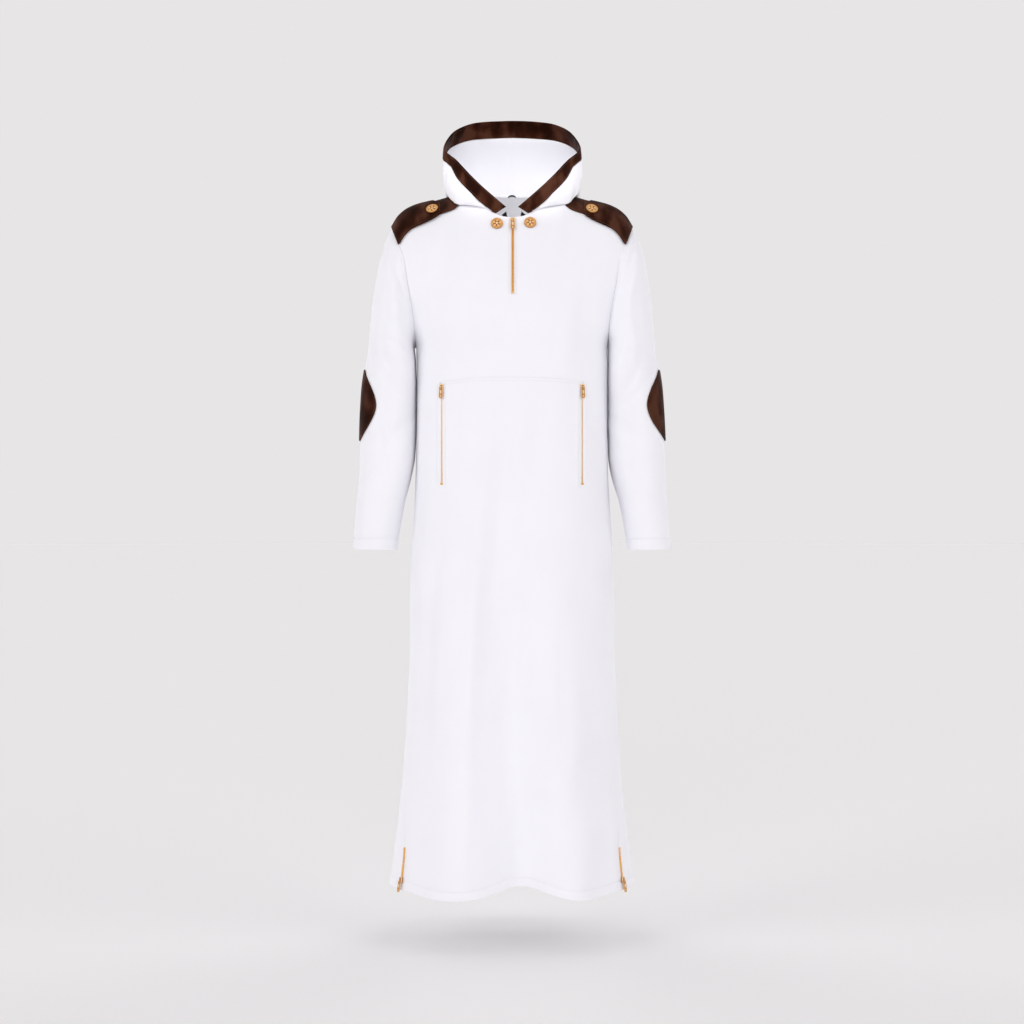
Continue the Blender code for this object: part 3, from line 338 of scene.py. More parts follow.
def body_point(angle, z):
    """Point of the body's outside: angle 0 is the wearer's left, 90 degrees the front."""
    half_width, front, back, _ = body_section(z)
    side = -1 if math.sin(angle) > 0 else 1
    power = 2.0 / SECTION_POWER
    x = half_width * signed_power(math.cos(angle), power)
    return outside_point(side, x, z, front if side < 0 else back, abs(math.sin(angle)) ** power)


def torso_point(side, x, z):
    """Point of the front or back above the underarm, at a given place across and height."""
    half_width, front, back, _ = body_section(z)
    share = max(0.0, 1.0 - (abs(x) / half_width) ** SECTION_POWER) ** (1.0 / SECTION_POWER)
    return outside_point(side, x, z, front if side < 0 else back, share)


def hem_height(side, x):
    return HEM_Z + sum(height * math.exp(-((x - place) / width) ** 2)
                       for place, width, height in HEM_RISES[side])


def panel_point(side, across, down):
    """Front or back panel. Across runs from 1 at the wearer's left to -1 at the right, as the
    share of the half width. Down is 0 at the top edge, 1 at the underarm and 2 at the hem."""
    if down < 1.0:
        up = 0.5 * (1.0 + math.cos(math.pi * down))
        edge = armhole_places(up)[0 if side < 0 else 1]
        top_x = across * SHOULDER_X
        top_z = crest(side, top_x) if abs(top_x) >= NECK_X - 1e-9 else neckline(side, top_x)
        z = UNDERARM_Z + up * (top_z - UNDERARM_Z)
        return torso_point(side, across * edge, z)
    turn_at = down - 1.0
    base = UNDERARM_Z + turn_at * (HEM_Z - UNDERARM_Z)
    seam = math.radians(body_section(base)[3])
    round_angle = math.acos(signed_power(across, SECTION_POWER / 2.0))
    if side < 0:
        angle = seam + (math.pi - 2 * seam) * round_angle / math.pi
    else:
        angle = -(-seam + (math.pi + 2 * seam) * round_angle / math.pi)
    half_width = body_section(base)[0]
    x = half_width * signed_power(math.cos(angle), 2.0 / SECTION_POWER)
    z = base + (hem_height(side, x) - HEM_Z) * ease(turn_at * 3.0 - 2.0)
    return body_point(angle, z)


# ------------------------------------------------------------------ sleeves
def armhole_point(angle):
    """Point of the left armhole's edge: angle 0 at the shoulder, 90 in front, 180 below."""
    up = 0.5 * (1.0 + math.cos(angle))
    side = -1 if math.sin(angle) >= 0 else 1
    x = armhole_places(up)[0 if side < 0 else 1]
    return torso_point(side, x, UNDERARM_Z + up * (SHOULDER_Z - UNDERARM_Z))


def tube_point(angle, share):
    """Point of a plain tube along the arm, and the middle of its section."""
    outer_x, outer_z, inner_x, inner_z, half_depth, middle_y = sleeve_lines(share)
    outer = Vector((outer_x, middle_y, outer_z))
    inner = Vector((inner_x, middle_y, inner_z))
    middle = (outer + inner) / 2
    across = (outer - inner) / 2 * math.cos(angle)
    return middle + across - Vector((0, half_depth, 0)) * math.sin(angle), middle


def sleeve_point(angle, share):
    """Left sleeve's outside: angle 0 is outward, 90 degrees the front, 180 the body."""
    point, middle = tube_point(angle, share)
    start = 1.0 - min(share / SLEEVE_BLEND, 1.0)
    point += (armhole_point(angle) - tube_point(angle, 0.0)[0]) * start * start
    point.x += UNDERARM_GAP * max(0.0, -math.cos(angle)) ** 2
    out = (point - middle).normalized()
    for at, round_at, half_length, half_round, depth in SLEEVE_CREASES:
        turn = (math.degrees(angle) - round_at + 180.0) % 360.0 - 180.0
        slant = (share - at) + SLEEVE_SLANT * turn
        point += out * depth * math.exp(-(slant / half_length) ** 2 - (turn / half_round) ** 2)
    return point


# ------------------------------------------------------------------ hood
def neck_point(signed_x):
    """Point of the neckline: below zero on the front panel, otherwise on the back one."""
    side = -1 if signed_x < 0 else 1
    x = abs(signed_x)
    return torso_point(side, x, neckline(side, x))


def seat_point(share):
    """Where the hood sits on the neckline."""
    (side_share, _), (back_share, back_x) = HOOD_SEAT[2:4]
    if share < side_share or share > back_share:
        return neck_point(hood_seat(share)[0])
    at = (share - side_share) / (back_share - side_share)
    return neck_point(NECK_X + (back_x - NECK_X) * at)


def hood_profile(share):
    """The line from the neck seam to the rim: its reader and its length."""
    points = [seat_point(share)]
    points += [Vector(line(share)) for line in hood_lines]
    rows = [(0.0, *points[0])]
    for before, after in zip(points, points[1:]):
        rows.append((rows[-1][0] + (after - before).length, *after))
    return table(rows, slopes_from=round_slopes_of), rows[-1][0]


def hood_start(share):
    """Share of the way up where the hood begins, just off the neckline."""
    return HOOD_SEAT_GAP / hood_profile(share)[1]


def band_start(share):
    """Share of the way up where the border begins."""
    if share < HOOD_START:
        return hood_start(share)
    return 1.0 - band_width(share)[0] / hood_profile(share)[1]


# ------------------------------------------------------------------ soft relief of the cloth
# Creases of the front (-1) and the back (1): start, bend and end as places across and heights,
# half width, and how far they stand out (below zero for a trough).
CREASES = {
    -1: [
        ((-0.0125, -0.2070), (-0.0165, -0.2600), (-0.0235, -0.3060), 0.0060, -0.0016),
        ((-0.1120, -0.2780), (-0.1170, -0.3130), (-0.1195, -0.3500), 0.0050, -0.0014),
        ((-0.1640, -0.1640), (-0.1530, -0.1930), (-0.1460, -0.2360), 0.0170, -0.0030),
        ((0.1530, -0.1780), (0.1440, -0.2130), (0.1380, -0.2500), 0.0170, -0.0028),
        ((-0.1220, -0.0700), (-0.1010, -0.1000), (-0.0830, -0.1260), 0.0140, -0.0016),
        ((0.1230, -0.0700), (0.1040, -0.1020), (0.0860, -0.1280), 0.0140, -0.0016),
        ((-0.1830, -0.2880), (-0.1600, -0.2990), (-0.1300, -0.3000), 0.0080, -0.0016),
        ((0.1850, -0.2880), (0.1650, -0.3010), (0.1380, -0.3020), 0.0080, -0.0015),
        ((-0.1480, -0.6400), (-0.1660, -0.8600), (-0.1780, -1.1800), 0.0150, -0.0042),
        ((-0.0080, -0.3950), (-0.0480, -0.7900), (-0.0680, -1.3600), 0.0210, -0.0065),
        ((0.0950, -0.7800), (0.1000, -0.9500), (0.1060, -1.1500), 0.0130, -0.0020),
        ((0.1900, -0.6300), (0.1860, -0.8200), (0.1840, -0.9800), 0.0110, -0.0018),
        ((-0.0650, -0.5900), (-0.0760, -0.8000), (-0.0820, -1.0800), 0.0120, 0.0016),
        ((0.0500, -0.3950), (0.0420, -0.4700), (0.0440, -0.5600), 0.0180, -0.0014),
    ],
    1: [
        ((-0.1300, -0.1100), (-0.0700, -0.1500), (0.0000, -0.1620), 0.0160, -0.0022),
        ((0.1300, -0.1100), (0.0700, -0.1480), (0.0060, -0.1600), 0.0160, -0.0022),
        ((-0.1650, -0.2700), (-0.1350, -0.3050), (-0.0800, -0.3250), 0.0090, -0.0018),
        ((0.1660, -0.2700), (0.1330, -0.3100), (0.0820, -0.3350), 0.0090, -0.0018),
        ((-0.1100, -0.4500), (-0.0300, -0.4750), (0.0500, -0.4600), 0.0170, -0.0020),
        ((0.0200, -0.3400), (0.0150, -0.4500), (0.0280, -0.6000), 0.0140, -0.0018),
        ((-0.0500, -0.5600), (-0.0420, -0.7600), (-0.0560, -1.0200), 0.0130, -0.0020),
        ((0.1300, -0.6200), (0.1280, -0.8000), (0.1400, -1.0000), 0.0130, 0.0018),
        ((-0.1360, -0.5800), (-0.1350, -0.7600), (-0.1430, -0.9800), 0.0130, 0.0018),
    ],
}
# More creases of the left (1) and the right (-1) sleeve: share and angle of the middle, half
# lengths along and round, slant, and how far they stand out.
ARM_CREASES = {
    1: [
        (0.44, 95.0, 0.018, 34.0, 0.0013, -0.0022),
        (0.60, 88.0, 0.016, 30.0, -0.0010, -0.0024),
        (0.645, 130.0, 0.014, 36.0, 0.0008, 0.0020),
        (0.80, 100.0, 0.018, 40.0, 0.0012, -0.0020),
        (0.885, 70.0, 0.014, 30.0, -0.0008, -0.0014),
        (0.56, 280.0, 0.018, 36.0, 0.0010, -0.0022),
        (0.75, 250.0, 0.018, 40.0, -0.0010, -0.0022),
    ],
    -1: [
        (0.41, 88.0, 0.018, 36.0, 0.0010, -0.0022),
        (0.58, 100.0, 0.017, 34.0, -0.0012, -0.0024),
        (0.67, 120.0, 0.014, 32.0, 0.0010, 0.0018),
        (0.77, 80.0, 0.017, 36.0, 0.0010, -0.0020),
        (0.90, 110.0, 0.014, 30.0, 0.0010, -0.0014),
        (0.52, 265.0, 0.018, 36.0, -0.0010, -0.0022),
        (0.71, 285.0, 0.018, 38.0, 0.0010, -0.0022),
    ],
}
# Long soft folds down the front of the sleeves: start, bend and end as places across and
# heights, half width, and how far they stand out.
ARM_FOLDS = {
    -1: [
        ((-0.2400, -0.0720), (-0.2300, -0.1500), (-0.2050, -0.2000), 0.0058, -0.0036),
        ((-0.2520, -0.0900), (-0.2400, -0.1500), (-0.2200, -0.2300), 0.0075, 0.0018),
        ((-0.2600, -0.2560), (-0.2620, -0.3150), (-0.2020, -0.4100), 0.0095, -0.0036),
        ((-0.2700, -0.2420), (-0.2680, -0.2750), (-0.2640, -0.3050), 0.0080, 0.0018),
        ((-0.2580, -0.4050), (-0.2500, -0.4550), (-0.2320, -0.5050), 0.0090, -0.0028),
    ],
    1: [
        ((0.2420, -0.0780), (0.2350, -0.1450), (0.2040, -0.2020), 0.0058, -0.0036),
        ((0.2540, -0.0900), (0.2450, -0.1500), (0.2240, -0.2300), 0.0075, 0.0018),
        ((0.2640, -0.2640), (0.2600, -0.3350), (0.2010, -0.4120), 0.0095, -0.0034),
        ((0.2340, -0.4500), (0.2320, -0.4800), (0.2290, -0.5020), 0.0090, -0.0026),
    ],
}
# Where a sleeve rests against the body: height, and how far it swells there on the wearer's
# right and left.
ARM_REST = [(-0.5950, 0.0, 0.0), (-0.5500, 0.0034, 0.0032), (-0.5100, 0.0060, 0.0046),
            (-0.4700, 0.0046, 0.0027), (-0.4300, 0.0034, 0.0029), (-0.3900, 0.0027, 0.0022),
            (-0.3500, 0.0040, 0.0029), (-0.3100, 0.0034, 0.0017), (-0.2850, 0.0004, 0.0003),
            (-0.2500, 0.0, 0.0)]
# Fuller cloth where the front of a sleeve or of the body turns to its side: height, how far.
ARM_CORNER = [(-0.6500, 0.0), (-0.5200, 0.0080), (-0.3300, 0.0080), (-0.2900, 0.0030), (-0.2300, 0.0010),
              (-0.1600, 0.0)]
BODY_CORNER = [(-0.6500, 0.0), (-0.5200, 0.0034), (-0.3300, 0.0034), (-0.2900, 0.0)]
# Creases of the hood's halves: share and height of the middle, half lengths along and up, slant,
# and how far they stand out.
HOOD_CREASES = {
    1: [
        (0.13, 0.40, 0.050, 0.16, 0.3, -0.0022),
        (0.34, 0.45, 0.035, 0.22, -0.2, -0.0028),
        (0.52, 0.55, 0.040, 0.24, 0.4, 0.0026),
        (0.63, 0.45, 0.035, 0.28, 0.3, -0.0030),
        (0.80, 0.55, 0.045, 0.26, -0.2, -0.0028),
    ],
    -1: [
        (0.15, 0.45, 0.050, 0.16, 0.3, -0.0020),
        (0.31, 0.40, 0.035, 0.22, 0.2, -0.0028),
        (0.49, 0.60, 0.040, 0.24, -0.3, 0.0024),
        (0.66, 0.50, 0.035, 0.28, 0.3, -0.0030),
        (0.84, 0.50, 0.045, 0.26, 0.2, -0.0026),
    ],
}
WAVES = 9                 # soft waves that keep the cloth from being even
WAVE_LENGTHS = (0.055, 0.190)
WAVE_HEIGHT = 0.00042
WAVE_TURN = 6.28          # a wave starts anywhere within a turn
WAVE_UPRIGHT = (1.0, 1.0, 0.45)   # the waves' directions lie flat rather than upright
ARM_STRETCH = (1, 1, 0.6)
BODY_SEED = 11
ARM_SEEDS = {1: 23, -1: 29}
HOOD_SEEDS = {1: 37, -1: 41}
HOOD_SLANT = 0.2          # shares of slant for each share of the way up
HOOD_CALM_UP = 0.10       # shares of the way up, from the middle of the back and from the front
HOOD_CALM_BACK = 0.06     # end, over which the hood lies calm
HOOD_CALM_START = 0.03
HOOD_CALM_LEAST = 0.15
ARM_CALM = 0.04           # share below the armhole where a sleeve lies calm
FACING_FRONT = 0.30       # how far a normal has to turn to count as facing there
FACING_BODY = 0.75

# Buttons beside the neck: side, place across, height. Hem zips. Zips in a slit: place across,
# upper end, lower end.
FRONT_BUTTONS = [("left", 0.0358, -0.0447), ("right", -0.0297, -0.0466)]
HEM_ZIP_TOP = -1.2720
HEM_ZIP_X = 0.2140        # about where the hem zips run
SLIT_ZIPS = [(0.0014, -0.0290, -0.1830), (0.1365, -0.3600, -0.5600), (-0.1365, -0.3600, -0.5600)]
SLIT_DEPTH = 0.0007       # how far the cloth sinks beside a zip's teeth
SLIT_HALF = 0.0042
SLIT_FADE = 0.0040        # and over what length that begins and ends
WELT_PLACE = 0.0078       # the doubled cloth beside a slit
WELT_HALF = 0.0034
WELT_HEIGHT = 0.0006
HEM_DEPTH = 0.0180        # hems: depth, thickness of the turning, groove of the stitching
CUFF_DEPTH = 0.0220
TURNING = 0.0006
TURNING_SOFT = 0.0006
GROOVE = 0.0005
GROOVE_HALF = 0.0016
BEND_STEPS = 8            # straight steps along a crease
CREASE_FADE = 0.8         # how quickly folds fade at their ends
ARM_FOLD_FADE = 0.7
# How far the cloth lies calm: beside zips, buttons and hem zips (across and along), below the
# neck and shoulders, inside the armholes and below them.
CALMED = 0.92
CALM_LEAST = 0.05
CALM_ZIP = (0.016, 0.020)
CALM_BUTTON = 0.018
CALM_HEM_ZIP = (0.022, 0.030)
CALM_BELOW_TOP = 0.040
CALM_BESIDE_ARM = 0.030
CALM_BELOW_ARM = 0.020
POCKET_STEPS = 60
SEAM_SHARES = (0.001, 0.999)   # no groove beyond the pocket seam's ends
# The seam over the pocket: places across and heights.
POCKET_SEAM = [(-0.1390, -0.3610), (-0.0858, -0.3545), (0.0000, -0.3520), (0.0858, -0.3550),
               (0.1384, -0.3600)]


def unit(vectors):
    return vectors / np.maximum(np.linalg.norm(vectors, axis=-1, keepdims=True), 1e-12)


def normals_of(points, ring=False):
    """Normals of a grid of points [row, column], out of the side that its rows and columns
    turn to."""
    if ring:
        along = np.roll(points, -1, 1) - np.roll(points, 1, 1)
    else:
        along = np.gradient(points, axis=1)
    return unit(np.cross(along, np.gradient(points, axis=0)))


def waves(points, seed):
    """Low waves in space, the same for pieces that lie on each other."""
    draw = np.random.RandomState(seed)
    total = np.zeros(points.shape[:-1])
    for _ in range(WAVES):
        way = unit(draw.normal(size=3) * WAVE_UPRIGHT)
        length = draw.uniform(*WAVE_LENGTHS)
        total += np.sin(points @ way * (2 * math.pi / length) + draw.uniform(0, WAVE_TURN))
    return total * WAVE_HEIGHT


def near_line(px, pz, line):
    """Distance from a line of points, and the share of the way along it."""
    best = np.full(px.shape, 1e9)
    share = np.zeros(px.shape)
    count = len(line) - 1
    for k in range(count):
        (ax, az), (bx, bz) = line[k], line[k + 1]
        dx, dz = bx - ax, bz - az
        t = np.clip(((px - ax) * dx + (pz - az) * dz) / (dx * dx + dz * dz), 0, 1)
        gap = np.hypot(px - ax - t * dx, pz - az - t * dz)
        closer = gap < best
        best = np.where(closer, gap, best)
        share = np.where(closer, (k + t) / count, share)
    return best, share


def bend_line(start, bend, end):
    """Points along a line that is drawn towards a bend."""
    shares = [k / BEND_STEPS for k in range(BEND_STEPS + 1)]
    return [tuple((1 - t) ** 2 * a + 2 * t * (1 - t) * b + t * t * c for a, b, c in zip(start, bend, end))
            for t in shares]


def looked_up(rows, key, column=1):
    """A column of a table, read straight between its rows."""
    return np.interp(key, [row[0] for row in rows], [row[column] for row in rows])


def line_folds(rows, x, z, fade):
    """Height of soft folds along bent lines, which fade out at both ends."""
    total = np.zeros(x.shape)
    for start, bend, end, half, height in rows:
        gap, share = near_line(x, z, bend_line(start, bend, end))
        ends = np.sin(math.pi * np.clip(share, 0.0, 1.0)) ** fade
        total += height * np.exp(-(gap / half) ** 2) * ends
    return total


def calm_near(across, half_across, along, half_along):
    """1 far from a place, near 0 on it."""
    return 1 - CALMED * np.exp(-(across / half_across) ** 2 - (along / half_along) ** 2)


def calm_places(side, x, z):
    """1 on open cloth, near 0 along the neck, the shoulders, the armholes, zips and buttons."""
    away = np.abs(x)
    behind = 1 if side < 0 else 2
    top = np.where(away < NECK_X, looked_up(NECKLINE, away, behind), looked_up(CREST, away))
    calm = np.clip((top - z) / CALM_BELOW_TOP, CALM_LEAST, 1.0)
    up = np.clip((z - UNDERARM_Z) / (SHOULDER_Z - UNDERARM_Z), 0, 1)
    inside = looked_up(ARMHOLE, up, behind) - away
    calm = calm * np.where(z > UNDERARM_Z - CALM_BELOW_ARM,
                           np.clip(inside / CALM_BESIDE_ARM, CALM_LEAST, 1.0), 1.0)
    if side < 0:
        for place, high, low in SLIT_ZIPS:
            beyond = np.maximum(np.maximum(z - high, low - z), 0.0)
            calm = calm * calm_near(x - place, CALM_ZIP[0], beyond, CALM_ZIP[1])
        for _, place, high in FRONT_BUTTONS:
            calm = calm * calm_near(x - place, CALM_BUTTON, z - high, CALM_BUTTON)
        beyond = np.maximum(z - HEM_ZIP_TOP, 0.0)
        calm = calm * calm_near(away - HEM_ZIP_X, CALM_HEM_ZIP[0], beyond, CALM_HEM_ZIP[1])
    return calm


def panel_relief(side, points):
    """How far the cloth of the body stands out of its plain surface."""
    x, z = points[..., 0], points[..., 2]
    calm = calm_places(side, x, z)
    total = (waves(points, BODY_SEED) + line_folds(CREASES[side], x, z, CREASE_FADE)) * calm
    if side < 0:
        for place, top, low in SLIT_ZIPS:
            along = np.clip((top - z) / SLIT_FADE, 0, 1) * np.clip((z - low) / SLIT_FADE, 0, 1)
            gap = np.abs(x - place)
            total -= SLIT_DEPTH * np.exp(-(gap / SLIT_HALF) ** 4) * along
            total += WELT_HEIGHT * np.exp(-((gap - WELT_PLACE) / WELT_HALF) ** 2) * along
        gap, share = near_line(x, z, pocket_line())
        inside = (share > SEAM_SHARES[0]) & (share < SEAM_SHARES[1])
        total -= np.where(inside, GROOVE * np.exp(-(gap / GROOVE_HALF) ** 2), 0)
    return total


def pocket_line(drop=0.0):
    """Places across and heights along the pocket's seam, or at a distance below it."""
    read = table(POCKET_SEAM, slopes_from=round_slopes_of)
    first, last = POCKET_SEAM[0][0], POCKET_SEAM[-1][0]
    places = [first + (last - first) * k / POCKET_STEPS for k in range(POCKET_STEPS + 1)]
    return [(x, read(x)[0] - drop) for x in places]


def edge_distance(points, end=-1):
    """Distance of each point from its column's end."""
    steps = np.linalg.norm(np.diff(points, axis=0), axis=-1)
    total = np.vstack([np.zeros(points.shape[1]), np.cumsum(steps, axis=0)])
    return total[-1] - total if end == -1 else total


def hem_relief(points, depth):
    """The turned edge stands out a little, with a groove along its stitching."""
    gap = edge_distance(points)
    turning = TURNING / (1 + np.exp(np.minimum((gap - depth) / TURNING_SOFT, 50.0)))
    return turning - GROOVE * np.exp(-((gap - depth) / GROOVE_HALF) ** 2)


# ------------------------------------------------------------------ grids of the pieces
def net(surface, us, vs):
    """Points of a surface; us and vs are rows of places or whole grids of them."""
    us, vs = np.broadcast_arrays(np.asarray(us, float), np.asarray(vs, float))
    return np.array([[surface(u, v) for u, v in zip(row_u, row_v)] for row_u, row_v in zip(us, vs)])


def spaced(stops):
    """Places from a list of (start, step) pairs that ends in the last place."""
    places = []
    for (start, step), (end, _) in zip(stops, stops[1:]):
        count = max(1, round(abs(end - start) / step))
        places += [start + (end - start) * k / count for k in range(count)]
    return np.array(places + [stops[-1][0]])


def fuller(points, sideways, forward, rows):
    """Fuller cloth where a surface turns from the front to the side, by heights."""
    corner = np.clip(sideways, 0.0, 1.0) * np.clip(-forward, 0.0, 1.0) * 2.0
    return corner ** 2 * looked_up(rows, points[..., 2])


# Where the panels' columns and rows of points begin, and the step from there on.
PANEL_COLUMNS = {
    -1: [(1.0, 0.008), (0.97, 0.022), (0.790, 0.0075), (0.640, 0.022), (0.095, 0.0075), (0.0, 0)],
    1: [(1.0, 0.008), (0.97, 0.022), (0.0, 0)],
}
PANEL_ROWS = [(0.0, 0.011), (0.20, 0.022), (1.0, 0.0060), (1.042, 0.0011), (1.082, 0.0060), (1.965, 0.0012),
              (2.0, 0)]
SEAM_BLEND = 0.020        # depth over which the front's relief turns into the back's


def panel_net(side):
    """The front or the back, finer along its zips, its pocket seam and its hem."""
    ahead = spaced(PANEL_COLUMNS[side])
    across = np.concatenate([ahead, -ahead[-2::-1]])
    if side > 0:
        across = across[::-1]
    down = spaced(PANEL_ROWS)
    points = net(lambda a, d: panel_point(side, a, d), across[None, :], down[:, None])
    normals = normals_of(points)
    raised = panel_relief(side, points) + hem_relief(points, HEM_DEPTH)
    if side < 0:
        raised += fuller(points, np.abs(normals[..., 0]), normals[..., 1], BODY_CORNER)
    return points + normals * raised[..., None]


def panel_trim(across, down):
    """The same surface for what lies over the shoulder, with down below zero on the back."""
    points = net(lambda a, d: panel_point(-1 if d >= 0 else 1, a, abs(d)), across, down)
    normals = normals_of(points)
    front = panel_relief(-1, points)
    behind = panel_relief(1, points)
    depth = np.clip(points[..., 1] / SEAM_BLEND + 0.5, 0, 1)
    return points + normals * (front * (1 - depth) + behind * depth)[..., None]


def arm_relief(side, shares, angles, points):
    """Waves and creases of a sleeve, calm at the armhole."""
    total = waves(points * ARM_STRETCH, ARM_SEEDS[side])
    degrees = np.degrees(angles)
    for at, round_at, long, wide, slant, height in ARM_CREASES[side]:
        turn = (degrees - round_at + 180.0) % 360.0 - 180.0
        lean = shares - at + slant * turn
        total += height * np.exp(-(lean / long) ** 2 - (turn / wide) ** 2)
    return total * np.clip(shares / ARM_CALM, 0.1, 1.0)


def arm_rest(side, points, normals):
    """Folds down the front of a sleeve, and the fuller cloth where it lies on the body."""
    x, z = points[..., 0], points[..., 2]
    front = np.clip(-normals[..., 1] / FACING_FRONT, 0.0, 1.0)
    total = line_folds(ARM_FOLDS[side], x * side, z, ARM_FOLD_FADE) * front
    inward = np.clip(-normals[..., 0] / FACING_BODY, 0.0, 1.0)
    inward = inward * inward * (3.0 - 2.0 * inward)
    total += inward * looked_up(ARM_REST, z, 1 if side < 0 else 2)
    return total + fuller(points, -normals[..., 0], normals[..., 1], ARM_CORNER)


def arm_net(side, shares, angles, ring=True):
    """A sleeve or a piece of it, on the wearer's left; the caller mirrors the right one."""
    shares, angles = np.broadcast_arrays(np.asarray(shares, float), np.asarray(angles, float))
    points = net(lambda angle, share: np.array(sleeve_point(angle, share)), angles, shares)
    normals = normals_of(points, ring)
    relief = arm_relief(side, shares, angles, points) + arm_rest(side, points, normals)
    return points + normals * relief[..., None]


def hood_net(side, shares, start, end, steps, relief=1.0):
    """Rows of the left half of the hood from one line round it to another."""
    columns, ups = [], []
    for share in shares:
        read, length = hood_profile(share)
        low, high = start(share), end(share)
        ups.append([low + (high - low) * k / steps for k in range(steps + 1)])
        columns.append([read(up * length) for up in ups[-1]])
    points = np.array(columns).transpose(1, 0, 2)
    up = np.array(ups).T
    share = np.broadcast_to(np.asarray(shares), up.shape)
    total = waves(points, HOOD_SEEDS[side])
    for at, up_at, wide, tall, slant, height in HOOD_CREASES[side]:
        lean = share - at + slant * (up - up_at) * HOOD_SLANT
        total += height * np.exp(-(lean / wide) ** 2 - ((up - up_at) / tall) ** 2)
    calm = np.clip(np.minimum(up / HOOD_CALM_UP, (1.0 - share) / HOOD_CALM_BACK + HOOD_CALM_LEAST), 0.0, 1.0)
    calm = calm * np.clip((share - HOOD_START) / HOOD_CALM_START, 0.0, 1.0)
    return points + normals_of(points) * (total * calm * relief)[..., None]


def mirror(points):
    """The same grid on the other side, with its outside still out."""
    return points[:, ::-1] * (-1, 1, 1)


# Places across the panel of its columns outside the neck, as shares of the half width.
SIDE_COLUMNS = [1.0, 0.985, 0.945, 0.885, 0.81, 0.72, 0.62, 0.515]
ARMHOLE_STEPS = 12        # rows from the shoulder to the underarm
EPAULETTE_BUTTON = (0.1572, 0.0228)   # place across, and distance below the crest
STRAP_LIFT = TRIM_GAP + STRAP
EPAULETTE_LIFT = STRAP_LIFT + TRIM_GAP + EPAULETTE
PATCH_LIFT = PATCH_GAP + STRAP
BAND_SWELL = 0.0007       # how far the doubled border is padded
LOOP_HALF = (0.0058, 0.0092)   # hanger loop: half widths and rises, inside and outside
LOOP_RISE = (0.0022, 0.0062)
LOOP_BASE = 0.0225
LOOP_Y = (0.0606, 0.0616)
LOOP_SLIM = 0.75          # share of the CAD tape's width
SEAM_TUCK = 0.0003        # how far sewn edges reach into each other
HOOD_TUCK = 0.0010
# Ends of the neck zip's tape: places across and heights down their inner and outer edges.
TAPE_MIDDLE = 0.0036
TAPE_LEAN = 0.80          # how far they lean in, for each metre up
TAPE_INNER = [(0.0149, -0.0188), (0.0132, -0.0296), (0.0058, -0.0390)]
TAPE_OUTER = [(0.0234, -0.0264), (0.0160, -0.0390)]
TAPE_END = 0.0010
EDGE_STITCH = 0.0028
BAND_STITCH = 0.0032
TACK_LENGTH = 0.0046      # bar tacks at the ends of the pocket's seam
TACK_DROP = 0.0006
TACK_STEP = 0.0006
TACK_ROWS = 5


